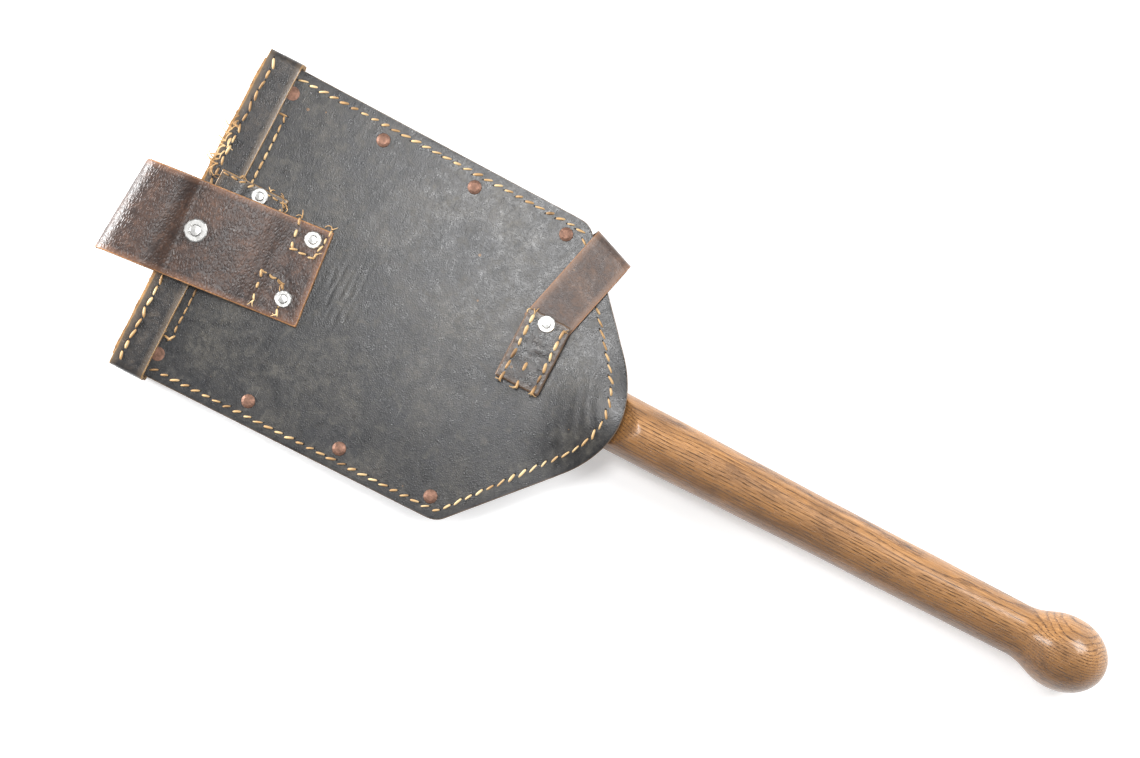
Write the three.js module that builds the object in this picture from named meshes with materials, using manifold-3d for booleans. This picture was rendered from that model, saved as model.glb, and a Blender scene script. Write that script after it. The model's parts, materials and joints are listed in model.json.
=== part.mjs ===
// A short camp spade in its leather carrier, lying with the front of the carrier down.
// Millimetres. +X runs along the handle to its knob, +Z is up, out of the carrier's back panel.
// The carrier and the blade lean down towards the cutting edge; the handle lies level.
import * as THREE from 'three';
import { mergeVertices } from 'three/addons/utils/BufferGeometryUtils.js';
import Module from 'manifold-3d';

const wasm = await Module();
wasm.setup();

// ---- Driving dimensions -------------------------------------------------------------------
const GAP = 0.3;                 // between pieces that touch
const LEATHER = 3;               // back panel and front frame
const POCKET_HALF = 2.5;         // half the height of the pocket that the blade slides in
const BAND_THICK = 2.2;          // mouth band
const STRAP_THICK = 2.5;         // closing strap
const LOOP_THICK = 2.6;          // belt loop

const NOSE_X = 0.5;              // tip of the back panel
const MOUTH_X = -264.5;          // closed end of the carrier, over the cutting edge
const MOUTH_HALF = 94.6;         // half width of the carrier at the mouth end
const SHOULDER_HALF = 91.5;      // and at the shoulders
const SHOULDER_X = -72;
const WELT_INNER = 77;           // half width of the pocket
const FRAME_INNER = 62;          // half width of the window in the front

const KNOB_RADIUS = 20.9;
const KNOB_X = 272;
const KNOB_END = 297.5;
const NECK_RADIUS = 16.5;
const NECK_Y = 2.5;              // the spade sits a little towards the strap side
const AXIS_DROP = 6;             // handle axis below the blade's middle plane, at the nose
const BLADE_HALF = 73.5;
const BLADE_THICK = 2;
const EDGE_X = -255;             // cutting edge
const PLATE_THICK = 1.7;         // steel tongues that grip the handle
const TONGUE_WIDTH = 20;

const DOME_START = -50;          // the back panel rises over the neck from here to the nose
const DOME_HEIGHT = 5.8;
const DOME_HALF = 45;

const PANEL_Z = POCKET_HALF + GAP;
const PANEL_TOP = PANEL_Z + LEATHER;
const BAND_Z = PANEL_TOP + GAP;
const BAND_TOP = BAND_Z + BAND_THICK;
const NOSE_HEIGHT = KNOB_RADIUS + AXIS_DROP;
const PITCH = Math.asin((NOSE_HEIGHT - BAND_TOP) / -MOUTH_X);

const HOLE_SIDES = 12;

// ---- Materials ----------------------------------------------------------------------------
const material = (color, roughness, metalness) =>
  new THREE.MeshStandardMaterial({ color, roughness, metalness });
const blackLeather = () => material('#4a4b4d', 0.55, 0);
const brownLeather = () => material('#5a4438', 0.5, 0);
const tanLeather = () => material('#7d6452', 0.65, 0);
const ashWood = () => material('#b4824f', 0.45, 0);
const steel = () => material('#6d6f70', 0.5, 1);
const aluminium = () => material('#d6d6d4', 0.35, 1);
const copper = () => material('#8a5b45', 0.45, 1);

// ---- Solids, cuts and joins ---------------------------------------------------------------
function solid(geometry) {
  const bare = geometry.clone();
  bare.deleteAttribute('normal');
  bare.deleteAttribute('uv');
  const merged = mergeVertices(bare, 1e-4);
  const vertProperties = new Float32Array(merged.attributes.position.array);
  const triVerts = new Uint32Array(merged.index.array);
  return new wasm.Manifold(new wasm.Mesh({ numProp: 3, vertProperties, triVerts }));
}

function toGeometry(manifold) {
  const mesh = manifold.getMesh();
  const geometry = new THREE.BufferGeometry();
  geometry.setAttribute('position', new THREE.BufferAttribute(mesh.vertProperties, 3));
  geometry.setIndex(new THREE.BufferAttribute(mesh.triVerts, 1));
  geometry.computeVertexNormals();
  return geometry;
}

function cut(geometry, ...tools) {
  return toGeometry(tools.reduce((body, tool) => body.subtract(solid(tool)), solid(geometry)));
}

function join(geometry, ...others) {
  return toGeometry(others.reduce((body, other) => body.add(solid(other)), solid(geometry)));
}

function common(geometry, ...others) {
  return toGeometry(others.reduce((body, other) => body.intersect(solid(other)), solid(geometry)));
}

function part(parent, name, geometry, material) {
  const mesh = new THREE.Mesh(geometry, material);
  mesh.name = name;
  parent.add(mesh);
  return mesh;
}

// A flat sheet of the outline `shape` in X-Y, from height low to high.
function sheet(shape, low, high) {
  const options = { depth: high - low, bevelEnabled: false, curveSegments: 8 };
  const geometry = new THREE.ExtrudeGeometry(shape, options);
  geometry.translate(0, 0, low);
  return geometry;
}

// A side profile drawn in X-Z, made `width` wide across Y and centred on it.
function across(shape, width) {
  const geometry = new THREE.ExtrudeGeometry(shape, { depth: width, bevelEnabled: false });
  geometry.rotateX(Math.PI / 2);
  geometry.translate(0, width / 2, 0);
  return geometry;
}

// A band profile drawn in Y-Z, made `width` long along X from x = 0.
function along(shape, width) {
  const geometry = new THREE.ExtrudeGeometry(shape, { depth: width, bevelEnabled: false });
  geometry.rotateX(Math.PI / 2);
  geometry.rotateZ(Math.PI / 2);
  return geometry;
}

// The outline of a strip of even thickness that follows a line of points.
function ribbon(points, thickness) {
  const normals = points.map((point, i) => {
    const before = points[Math.max(i - 1, 0)];
    const after = points[Math.min(i + 1, points.length - 1)];
    const a = point.clone().sub(before).normalize();
    const b = after.clone().sub(point).normalize();
    const run = a.add(b).normalize();
    const bend = i > 0 && i < points.length - 1 ? run.dot(b) : 1;
    return new THREE.Vector2(-run.y, run.x).multiplyScalar(thickness / 2 / bend);
  });
  const left = points.map((point, i) => point.clone().add(normals[i]));
  const right = points.map((point, i) => point.clone().sub(normals[i]));
  return new THREE.Shape([...left, ...right.reverse()]);
}

// Points of a Path made by the callback.
function trace(draw, divisions = 6) {
  const path = new THREE.Path();
  draw(path);
  return path.getPoints(divisions);
}

function box(lowX, highX, lowY, highY, lowZ, highZ) {
  const geometry = new THREE.BoxGeometry(highX - lowX, highY - lowY, highZ - lowZ);
  geometry.translate((lowX + highX) / 2, (lowY + highY) / 2, (lowZ + highZ) / 2);
  return geometry;
}

// An upright round hole, as the cutter that makes it.
function drill(x, y, radius, low = -40, high = 40) {
  const geometry = new THREE.CylinderGeometry(radius, radius, high - low, HOLE_SIDES);
  geometry.rotateX(Math.PI / 2);
  geometry.translate(x, y, (low + high) / 2);
  return geometry;
}

// A solid turned about the Z axis; profile points are (radius, height), from the bottom up.
function turned(profile, segments) {
  const geometry = new THREE.LatheGeometry(profile.map(([r, z]) => new THREE.Vector2(r, z)), segments);
  geometry.rotateX(Math.PI / 2);
  return geometry;
}

// ---- Fasteners ----------------------------------------------------------------------------
// Domed rivet: seat of the head at z = 0, shank running down.
function domedRivet(head, height, shank, length, segments = 12) {
  return turned([
    [0, -length], [shank, -length], [shank, 0], [head, 0],
    [head * 0.94, height * 0.45], [head * 0.6, height * 0.88], [0, height],
  ], segments);
}

// Rivet set from inside: flat head at the bottom, shank, and an end peened over its burr.
function setRivet(head, headThick, shank, seat, peen, segments = 12) {
  return turned([
    [0, 0], [head, 0], [head, headThick], [shank, headThick], [shank, seat],
    [peen, seat + 0.05], [peen * 0.8, seat + 0.7], [0, seat + 0.95],
  ], segments);
}

function burr(bore, outer, thickness, segments = 12) {
  return turned([
    [bore, 0], [outer, 0], [outer, thickness * 0.55], [outer * 0.9, thickness], [bore, thickness], [bore, 0],
  ], segments);
}

// ---- Outline of the carrier ---------------------------------------------------------------
// One half, from the tip of the nose to the mouth corner, moved inwards by `inset`.
function halfOutline(inset = 0) {
  const points = trace((path) => {
    path.moveTo(NOSE_X, 0);
    path.bezierCurveTo(NOSE_X, 12, -5.5, 25.5, -15, 36);
    path.lineTo(-60, 86);
    path.quadraticCurveTo(-65, SHOULDER_HALF, SHOULDER_X, SHOULDER_HALF);
    path.lineTo(MOUTH_X, MOUTH_HALF);
  });
  return points.map((point, i) => {
    const before = i > 0 ? points[i - 1] : new THREE.Vector2(NOSE_X, -1);
    const after = points[Math.min(i + 1, points.length - 1)];
    const run = after.clone().sub(before).normalize();
    return new THREE.Vector2(point.x - run.y * inset, point.y + run.x * inset);
  });
}

const mirrored = (points) => points.map((point) => new THREE.Vector2(point.x, -point.y)).reverse();

function outline(inset = 0) {
  const half = halfOutline(inset);
  return new THREE.Shape([...half, ...mirrored(half).slice(0, -1)]);
}

function domeLift(x, y) {
  const rise = THREE.MathUtils.smoothstep(x, DOME_START, 0);
  const side = Math.min(Math.abs(y - NECK_Y) / DOME_HALF, 1);
  return DOME_HEIGHT * rise * Math.cos(side * Math.PI / 2) ** 2;
}

// A slab as big as the back panel, from height low to high, raised over the neck.
function domedSlab(low, high) {
  const columns = 8;
  const rows = 10;
  const lineX = [MOUTH_X - 1];
  for (let i = 0; i < columns; i += 1) {
    lineX.push(DOME_START + (NOSE_X + 1 - DOME_START) * i / (columns - 1));
  }
  const lineY = [-110];
  for (let i = 0; i <= rows; i += 1) {
    lineY.push(NECK_Y - DOME_HALF + 2 * DOME_HALF * i / rows);
  }
  lineY.push(110);
  const stepsX = lineX.length - 1;
  const stepsY = lineY.length - 1;
  const geometry = new THREE.BoxGeometry(1, 1, 1, stepsX, stepsY, 1);
  const position = geometry.attributes.position;
  for (let i = 0; i < position.count; i += 1) {
    const x = lineX[Math.round((position.getX(i) + 0.5) * stepsX)];
    const y = lineY[Math.round((position.getY(i) + 0.5) * stepsY)];
    const z = position.getZ(i) > 0 ? high : low;
    position.setXYZ(i, x, y, z + domeLift(x, y));
  }
  return geometry;
}

// ---- The two groups -----------------------------------------------------------------------
const outfit = new THREE.Group();
outfit.position.set(0, 0, NOSE_HEIGHT);

const carrier = new THREE.Group();
carrier.rotation.y = -PITCH;
outfit.add(carrier);

const spade = new THREE.Group();
spade.position.y = NECK_Y;
outfit.add(spade);

const bladeFrame = new THREE.Group();
bladeFrame.rotation.y = -PITCH;
spade.add(bladeFrame);

// A place on the leaning blade, as a point of the level handle's side view.
function onBlade(x, z) {
  return new THREE.Vector2(
    x * Math.cos(PITCH) - z * Math.sin(PITCH),
    x * Math.sin(PITCH) + z * Math.cos(PITCH),
  );
}

// The same, for a whole piece made in the blade's frame.
function leaned(geometry) {
  return geometry.clone().rotateY(-PITCH);
}

// ---- Spade --------------------------------------------------------------------------------
const bladeRivetPlaces = [-108, -88, -70];
const BLADE_RIVET = 2.2;
const HANDLE_RIVET = 2.4;
const HANDLE_RIVET_X = -30;
const screwPlaces = [28, 42];
const SCREW_SHANK = 1.8;
const SCREW_LENGTH = 12;
const TONGUE_Z = -AXIS_DROP - NECK_RADIUS - GAP - PLATE_THICK / 2;   // front tongue along the handle

function bladeGeometry() {
  const half = BLADE_THICK / 2;
  const shape = new THREE.Shape();
  shape.moveTo(EDGE_X + 9, -BLADE_HALF);
  shape.lineTo(-70, -BLADE_HALF);
  shape.quadraticCurveTo(-66, -BLADE_HALF, -62, -BLADE_HALF + 5);
  shape.lineTo(-16, -14);
  shape.lineTo(-16, 14);
  shape.lineTo(-62, BLADE_HALF - 5);
  shape.quadraticCurveTo(-66, BLADE_HALF, -70, BLADE_HALF);
  shape.lineTo(EDGE_X + 9, BLADE_HALF);
  shape.quadraticCurveTo(EDGE_X + 1, BLADE_HALF, EDGE_X + 1, BLADE_HALF - 9);
  shape.quadraticCurveTo(EDGE_X - 0.5, 0, EDGE_X + 1, -BLADE_HALF + 9);
  shape.quadraticCurveTo(EDGE_X + 1, -BLADE_HALF, EDGE_X + 9, -BLADE_HALF);
  const bevel = new THREE.Shape([
    new THREE.Vector2(EDGE_X - 2, half - 0.4),
    new THREE.Vector2(EDGE_X + 9, -half),
    new THREE.Vector2(EDGE_X + 9, -half - 2),
    new THREE.Vector2(EDGE_X - 2, -half - 2),
  ]);
  const holes = bladeRivetPlaces.map((x) => drill(x, 0, BLADE_RIVET + GAP));
  return cut(
    sheet(shape, -half, half),
    across(bevel, 2 * BLADE_HALF + 4),
    ...holes,
    drill(HANDLE_RIVET_X, 0, HANDLE_RIVET + GAP),
  );
}
part(bladeFrame, 'blade', bladeGeometry(), steel());

// The two tongues are strips of plate: the front one runs far up the handle, the rear one is short.
const frontTongueLine = [
  onBlade(-118, -BLADE_THICK / 2 - GAP - PLATE_THICK / 2),
  onBlade(-60, -BLADE_THICK / 2 - GAP - PLATE_THICK / 2),
  new THREE.Vector2(-52, -9.3),
  new THREE.Vector2(22, TONGUE_Z),
  new THREE.Vector2(50, TONGUE_Z),
];
const rearTongueLine = [
  onBlade(-42, BLADE_THICK / 2 + GAP + PLATE_THICK / 2),
  new THREE.Vector2(-11, 1.2),
  new THREE.Vector2(-4, 5),
];
const handleRivetHole = leaned(drill(HANDLE_RIVET_X, 0, HANDLE_RIVET + GAP));
const screwHoles = screwPlaces.map(
  (x) => drill(x, 0, SCREW_SHANK + GAP, TONGUE_Z - 5, TONGUE_Z + SCREW_LENGTH + 1),
);

part(spade, 'front_tongue', cut(
  across(ribbon(frontTongueLine, PLATE_THICK), TONGUE_WIDTH),
  ...bladeRivetPlaces.map((x) => leaned(drill(x, 0, BLADE_RIVET + GAP))),
  handleRivetHole,
  ...screwHoles,
), steel());
part(spade, 'rear_tongue', cut(
  across(ribbon(rearTongueLine, PLATE_THICK), TONGUE_WIDTH),
  handleRivetHole,
), steel());

// Turned handle with its knob, flattened to a wedge where it enters between the tongues.
function handleGeometry() {
  const profile = trace((path) => {
    path.moveTo(-53, 0);
    path.lineTo(-53, NECK_RADIUS);
    path.lineTo(30, NECK_RADIUS);
    path.quadraticCurveTo(100, 15.4, 160, 15.1);
    path.lineTo(244, 14.6);
    path.bezierCurveTo(256, 14.9, 258, KNOB_RADIUS, KNOB_X, KNOB_RADIUS);
    path.absellipse(KNOB_X, 0, KNOB_END - KNOB_X, KNOB_RADIUS, Math.PI / 2, 0, true);
  });
  const halfProfile = profile.map((point) => new THREE.Vector2(Math.abs(point.y), point.x));
  const wood = new THREE.LatheGeometry(halfProfile, 20);
  wood.rotateZ(-Math.PI / 2);
  wood.translate(0, 0, -AXIS_DROP);
  const wedge = new THREE.Shape([
    onBlade(-52, -BLADE_THICK / 2 - GAP),
    onBlade(-14, -BLADE_THICK / 2 - GAP),
    new THREE.Vector2(8, 9.9),
    new THREE.Vector2(20, 12),
    new THREE.Vector2(KNOB_END + 5, 30),
    new THREE.Vector2(KNOB_END + 5, -40),
    new THREE.Vector2(22, -AXIS_DROP - NECK_RADIUS - 1),
    new THREE.Vector2(22, -AXIS_DROP - NECK_RADIUS),
    onBlade(-52, -4.6),
  ]);
  return cut(common(wood, across(wedge, 60)), handleRivetHole, ...screwHoles);
}
part(spade, 'handle', handleGeometry(), ashWood());

bladeRivetPlaces.forEach((x, i) => {
  const low = -BLADE_THICK / 2 - 2 * GAP - PLATE_THICK;
  const rivet = setRivet(4, 1, BLADE_RIVET, BLADE_THICK / 2 + GAP - low + 1, 3.2, 12);
  const mesh = part(bladeFrame, `blade_rivet_${i + 1}`, rivet, steel());
  mesh.position.set(x, 0, low - 1);
});

const handleRivet = part(bladeFrame, 'handle_rivet', setRivet(4.4, 1.2, HANDLE_RIVET, 19, 3.6, 12), steel());
handleRivet.position.set(HANDLE_RIVET_X, 0, -15.5);

screwPlaces.forEach((x, i) => {
  const woodScrew = domedRivet(3.6, 1.1, SCREW_SHANK, SCREW_LENGTH);
  const screw = part(spade, `tongue_screw_${i + 1}`, woodScrew, steel());
  screw.rotation.x = Math.PI;
  screw.position.set(x, 0, TONGUE_Z - PLATE_THICK / 2 - GAP);
});

// ---- Carrier: side rivets' places ----------------------------------------------------------
const SIDE_RIVET_Y = 80.3;
const SIDE_RIVET_SHANK = 1.8;
const sideRivetX = (i) => -73.5 - 56.4 * i;
const sideHoles = (side) => [0, 1, 2, 3].map(
  (i) => drill(sideRivetX(i), side * SIDE_RIVET_Y, SIDE_RIVET_SHANK + GAP),
);

// ---- Carrier: belt loop and closing strap places --------------------------------------------
const SILVER_SHANK = 2.2;
const SILVER_BURR = 4.9;
const INNER_HEAD = 4.5;
const INNER_HEAD_THICK = 1.1;
const INNER_HEAD_Z = BLADE_THICK / 2 + 0.4;          // heads inside the pocket, clear of the blade
const loopRivetPlaces = [[-194.9, 14.2], [-194.6, -21.9]];
const tabRivetPlace = [-232.1, 21.9];
const mainRivetPlace = [-253.3, -10.6];
const MAIN_SHANK = 3;
const MAIN_BURR = 6.6;
const strapRivetPlace = [-60, 32];

const silverHoles = [...loopRivetPlaces, tabRivetPlace, strapRivetPlace]
  .map(([x, y]) => drill(x, y, SILVER_SHANK + GAP));
const mainHole = drill(...mainRivetPlace, MAIN_SHANK + GAP);

// ---- Carrier: panels, welts, frame and linings ----------------------------------------------
part(carrier, 'back_panel', cut(
  common(domedSlab(PANEL_Z, PANEL_TOP), sheet(outline(), -10, 40)),
  ...sideHoles(1),
  ...sideHoles(-1),
  ...silverHoles,
  mainHole,
), blackLeather());

// A spacer between panel and frame down each side, and one across the end.
for (const [side, name] of [[1, 'upper'], [-1, 'lower']]) {
  const edge = halfOutline(1).filter((point) => point.x < -63);
  const shape = new THREE.Shape([
    new THREE.Vector2(-63, WELT_INNER),
    ...edge,
    new THREE.Vector2(MOUTH_X, WELT_INNER),
  ].map((point) => new THREE.Vector2(point.x, point.y * side)));
  const welt = cut(sheet(shape, -POCKET_HALF, POCKET_HALF), ...sideHoles(side));
  part(carrier, `${name}_side_welt`, welt, tanLeather());
}
part(carrier, 'end_welt', cut(
  box(MOUTH_X, EDGE_X - 1.2, -WELT_INNER + GAP, WELT_INNER - GAP, -POCKET_HALF, POCKET_HALF),
  drill(...mainRivetPlace, MAIN_BURR),
), tanLeather());

// Front frame: a U of leather, open towards the nose so that the blade can be drawn.
function frontFrameGeometry() {
  const upper = halfOutline(1).filter((point) => point.x < -62);
  const shape = new THREE.Shape([
    new THREE.Vector2(-62, FRAME_INNER + 3),
    ...upper,
    ...mirrored(upper),
    new THREE.Vector2(-62, -FRAME_INNER - 3),
    new THREE.Vector2(-68, -FRAME_INNER),
    new THREE.Vector2(-232, -FRAME_INNER),
    new THREE.Vector2(-232, FRAME_INNER),
    new THREE.Vector2(-68, FRAME_INNER),
  ]);
  return cut(
    sheet(shape, -PANEL_TOP, -PANEL_Z),
    ...sideHoles(1),
    ...sideHoles(-1),
    drill(...chapeRivetPlace(), SILVER_SHANK + GAP),
  );
}

// Lining strips inside the back panel: across the mouth end, and round the nose.
const LINING_LOW = BLADE_THICK / 2 + GAP;
part(carrier, 'mouth_lining', cut(
  box(EDGE_X, -238, -WELT_INNER + 1, WELT_INNER - 1, LINING_LOW, POCKET_HALF),
  drill(...mainRivetPlace, MAIN_BURR + 0.6),
), tanLeather());

function noseLiningGeometry() {
  const outer = halfOutline(0.8).filter((point) => point.x > -60);
  const inner = halfOutline(16).filter((point) => point.x > -60);
  const strip = new THREE.Shape([
    ...mirrored(outer),
    ...outer.slice(1),
    ...inner.reverse(),
    ...mirrored(inner.reverse()).reverse().slice(1),
  ]);
  return common(domedSlab(LINING_LOW, POCKET_HALF), sheet(strip, -10, 40));
}
part(carrier, 'nose_lining', noseLiningGeometry(), tanLeather());

// Mouth band: wraps the closed end, from the front of one side over the back to the other front.
const BAND_WIDTH = 20;
const BAND_REACH = 58;           // how far in its ends come on the front
function mouthBandGeometry() {
  const y = MOUTH_HALF + GAP + BAND_THICK / 2;
  const z = BAND_Z + BAND_THICK / 2;
  const bend = 1.5;
  const line = trace((path) => {
    path.moveTo(-BAND_REACH, -z);
    path.lineTo(-y + bend, -z);
    path.absarc(-y + bend, -z + bend, bend, -Math.PI / 2, -Math.PI, true);
    path.absarc(-y + bend, z - bend, bend, Math.PI, Math.PI / 2, true);
    path.absarc(y - bend, z - bend, bend, Math.PI / 2, 0, true);
    path.absarc(y - bend, -z + bend, bend, 0, -Math.PI / 2, true);
    path.lineTo(BAND_REACH, -z);
  }, 4);
  const band = along(ribbon(line, BAND_THICK), BAND_WIDTH);
  band.translate(MOUTH_X, 0, 0);
  const notches = [1, -1].map((side) => drill(sideRivetX(3), side * SIDE_RIVET_Y, 4.2, -20, -PANEL_TOP));
  return cut(band, mainHole, ...notches);
}
part(carrier, 'mouth_band', mouthBandGeometry(), blackLeather());

// ---- Carrier: side rivets -------------------------------------------------------------------
for (const [side, name] of [[1, 'upper'], [-1, 'lower']]) {
  for (let i = 0; i < 4; i += 1) {
    const underBand = i === 3;
    const rivet = domedRivet(4, underBand ? GAP / 2 : 1.2, SIDE_RIVET_SHANK, 2 * PANEL_TOP + 0.6);
    const mesh = part(carrier, `${name}_side_rivet_${i + 1}`, rivet, copper());
    mesh.position.set(sideRivetX(i), side * SIDE_RIVET_Y, PANEL_TOP + 0.1);
    const ring = burr(SIDE_RIVET_SHANK + 0.15, 3.8, 1, 12);
    const washer = part(carrier, `${name}_side_burr_${i + 1}`, ring, copper());
    washer.rotation.x = Math.PI;
    washer.position.set(sideRivetX(i), side * SIDE_RIVET_Y, -PANEL_TOP - 0.2);
  }
}

// ---- Carrier: belt loop ---------------------------------------------------------------------
const TAB_THICK = 1.8;
const TAB_ON_PANEL = PANEL_TOP + GAP + TAB_THICK / 2;
const TAB_ON_BAND = BAND_TOP + GAP + TAB_THICK / 2;
const TAB_TOP = TAB_ON_BAND + TAB_THICK / 2;
const tabLine = [[-217, TAB_ON_PANEL], [-237, TAB_ON_PANEL], [-243.5, TAB_ON_BAND], [-257, TAB_ON_BAND]]
  .map(([x, z]) => new THREE.Vector2(x, z));
const tab = across(ribbon(tabLine, TAB_THICK), 61);
tab.translate(0, -3.5, 0);
part(carrier, 'loop_tab', cut(tab, drill(...tabRivetPlace, SILVER_SHANK + GAP), mainHole), blackLeather());

const LOOP_LENGTH = 113.5;
const LOOP_WIDTH = 56;
const LOOP_SKEW = 5.4 * THREE.MathUtils.DEG2RAD;
const FOLD_RADIUS = 5.1;
const LEG_Z = TAB_TOP + GAP + LOOP_THICK / 2;
const loopFrame = new THREE.Group();
loopFrame.position.set(-184, -4.9, 0);
loopFrame.rotation.z = Math.PI + LOOP_SKEW;
carrier.add(loopFrame);

// Height of the loop's upper layer at the main rivet, where it lies on its own lower leg.
const PINCH_Z = LEG_Z + LOOP_THICK + GAP;
const FOLD_TOP = LEG_Z + 2 * FOLD_RADIUS;
function beltLoopGeometry() {
  const flat = PANEL_TOP + GAP + LOOP_THICK / 2;
  const foldX = LOOP_LENGTH - FOLD_RADIUS - LOOP_THICK / 2;
  const line = trace((path) => {
    path.moveTo(0, flat);
    path.lineTo(23, flat);
    path.lineTo(32, flat + 3);
    path.lineTo(42, flat + 5);
    path.lineTo(60, PINCH_Z);
    path.lineTo(77.5, PINCH_Z);
    path.bezierCurveTo(79.5, PINCH_Z + 0.1, 80, FOLD_TOP, 92, FOLD_TOP);
    path.absarc(foldX, FOLD_TOP - FOLD_RADIUS, FOLD_RADIUS, Math.PI / 2, -Math.PI / 2, true);
    path.lineTo(62, LEG_Z);
  }, 8);
  const unplaced = (place) => {
    loopFrame.updateMatrix();
    return new THREE.Vector3(place[0], place[1], 0).applyMatrix4(loopFrame.matrix.clone().invert());
  };
  const holes = loopRivetPlaces.map(unplaced).map((p) => drill(p.x, p.y, SILVER_SHANK + GAP));
  const main = unplaced(mainRivetPlace);
  return cut(across(ribbon(line, LOOP_THICK), LOOP_WIDTH), ...holes, drill(main.x, main.y, MAIN_SHANK + GAP));
}
part(loopFrame, 'belt_loop', beltLoopGeometry(), brownLeather());

// A rivet set from inside the pocket, and its burr outside on a face at height `face`.
function silverRivet(name, [x, y], face, shank, outer) {
  const seat = face + GAP + 1.2 + 0.1 - INNER_HEAD_Z;
  const rivet = part(carrier, `${name}_rivet`, setRivet(
    Math.min(outer, INNER_HEAD + 1), INNER_HEAD_THICK, shank, seat, shank + 0.5,
  ), aluminium());
  rivet.position.set(x, y, INNER_HEAD_Z);
  const ring = part(carrier, `${name}_burr`, burr(shank + 0.15, outer, 1.2), aluminium());
  ring.position.set(x, y, face + GAP);
}
silverRivet('loop_corner_1', loopRivetPlaces[0], PANEL_TOP + GAP + LOOP_THICK, SILVER_SHANK, SILVER_BURR);
silverRivet('loop_corner_2', loopRivetPlaces[1], PANEL_TOP + GAP + LOOP_THICK, SILVER_SHANK, SILVER_BURR);
silverRivet('loop_tab', tabRivetPlace, PANEL_TOP + GAP + TAB_THICK, SILVER_SHANK, SILVER_BURR);
silverRivet('loop_main', mainRivetPlace, PINCH_Z + LOOP_THICK / 2 + 0.3, MAIN_SHANK, MAIN_BURR);

// ---- Carrier: closing strap -------------------------------------------------------------------
const STRAP_WIDTH = 26;
const STRAP_Z = PANEL_TOP + GAP;                    // underside of the sewn strap end
const STRAP_ANGLE = 75.5 * THREE.MathUtils.DEG2RAD; // the strap's run over the back panel
const FOLD_PLACE = [-46.2, 85.5];                   // outermost middle of the fold round the shoulder
const FOLD_ANGLE = 69 * THREE.MathUtils.DEG2RAD;    // square to the fold line
const HINGE_BACK = 8;                               // the fold's bending line, in from its outer face
const TAIL_ANGLE = 242.7 * THREE.MathUtils.DEG2RAD; // the loose end's run under the front
const TAIL_LENGTH = 146;

// Sewn end and run over the back, cut square at the bending line.
function strapGeometry() {
  const sewn = box(-73, -46.6, -5, 34, STRAP_Z, STRAP_Z + STRAP_THICK);
  const run = box(-4, 62, -STRAP_WIDTH / 2, STRAP_WIDTH / 2, STRAP_Z, STRAP_Z + STRAP_THICK);
  run.rotateZ(STRAP_ANGLE);
  run.translate(...strapRivetPlace, 0);
  const beyond = box(-HINGE_BACK - GAP, 30, -40, 40, 0, 30);
  beyond.rotateZ(FOLD_ANGLE);
  beyond.translate(...FOLD_PLACE, 0);
  return cut(join(sewn, run), beyond, drill(...strapRivetPlace, SILVER_SHANK + GAP));
}
part(carrier, 'closing_strap', strapGeometry(), tanLeather());

const PAD_THICK = 1.8;
const PAD_Z = STRAP_Z + STRAP_THICK + GAP;
part(carrier, 'strap_pad', cut(
  box(-72.6, -46.4, -5.2, 36, PAD_Z, PAD_Z + PAD_THICK),
  drill(...strapRivetPlace, SILVER_SHANK + GAP),
), blackLeather());
silverRivet('strap', strapRivetPlace, PAD_Z + PAD_THICK, SILVER_SHANK, SILVER_BURR);

// The fold and the loose end, which swing together about the bending line.
const tailFrame = new THREE.Group();
tailFrame.position.set(...FOLD_PLACE, 0);
tailFrame.rotation.z = FOLD_ANGLE;
carrier.add(tailFrame);

// Height, in the carrier's frame, of the middle of the loose end where it lies on the table.
function tableZ(run) {
  const x = FOLD_PLACE[0] + run * Math.cos(TAIL_ANGLE);
  return -(NOSE_HEIGHT + x * Math.sin(PITCH)) / Math.cos(PITCH) + STRAP_THICK / 2 + 1;
}

function tailGeometry() {
  const half = STRAP_THICK / 2;
  const top = STRAP_Z + half;
  const low = -PANEL_TOP - GAP - half - 0.4;
  const bend = 3;
  const wrapLine = trace((path) => {
    path.moveTo(-HINGE_BACK, top);
    path.lineTo(-half - bend, top);
    path.absarc(-half - bend, top - bend, bend, Math.PI / 2, 0, true);
    path.absarc(-half - bend, low + bend, bend, 0, -Math.PI / 2, true);
    path.lineTo(-HINGE_BACK, low);
  }, 4);
  const wrap = across(ribbon(wrapLine, STRAP_THICK), STRAP_WIDTH + 0.3);
  const endLine = trace((path) => {
    path.moveTo(0, low);
    path.bezierCurveTo(35, low, 45, tableZ(85), 85, tableZ(85));
    path.lineTo(TAIL_LENGTH, tableZ(TAIL_LENGTH));
  }, 8);
  const shape = new THREE.Shape();
  shape.moveTo(-1, -STRAP_WIDTH / 2);
  shape.lineTo(TAIL_LENGTH - 14, -STRAP_WIDTH / 2);
  shape.quadraticCurveTo(TAIL_LENGTH - 2, -STRAP_WIDTH / 3, TAIL_LENGTH, 0);
  shape.quadraticCurveTo(TAIL_LENGTH - 2, STRAP_WIDTH / 3, TAIL_LENGTH - 14, STRAP_WIDTH / 2);
  shape.lineTo(-1, STRAP_WIDTH / 2);
  const holes = [0, 1, 2, 3, 4].map((i) => drill(TAIL_LENGTH - 28 - 12 * i, 0, 2));
  const end = cut(common(across(ribbon(endLine, STRAP_THICK), 40), sheet(shape, -40, 0)), ...holes);
  end.rotateZ(TAIL_ANGLE - FOLD_ANGLE);
  end.translate(-5.5, 0, 0);
  return join(wrap, end);
}
part(tailFrame, 'strap_tail', tailGeometry(), tanLeather());

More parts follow.
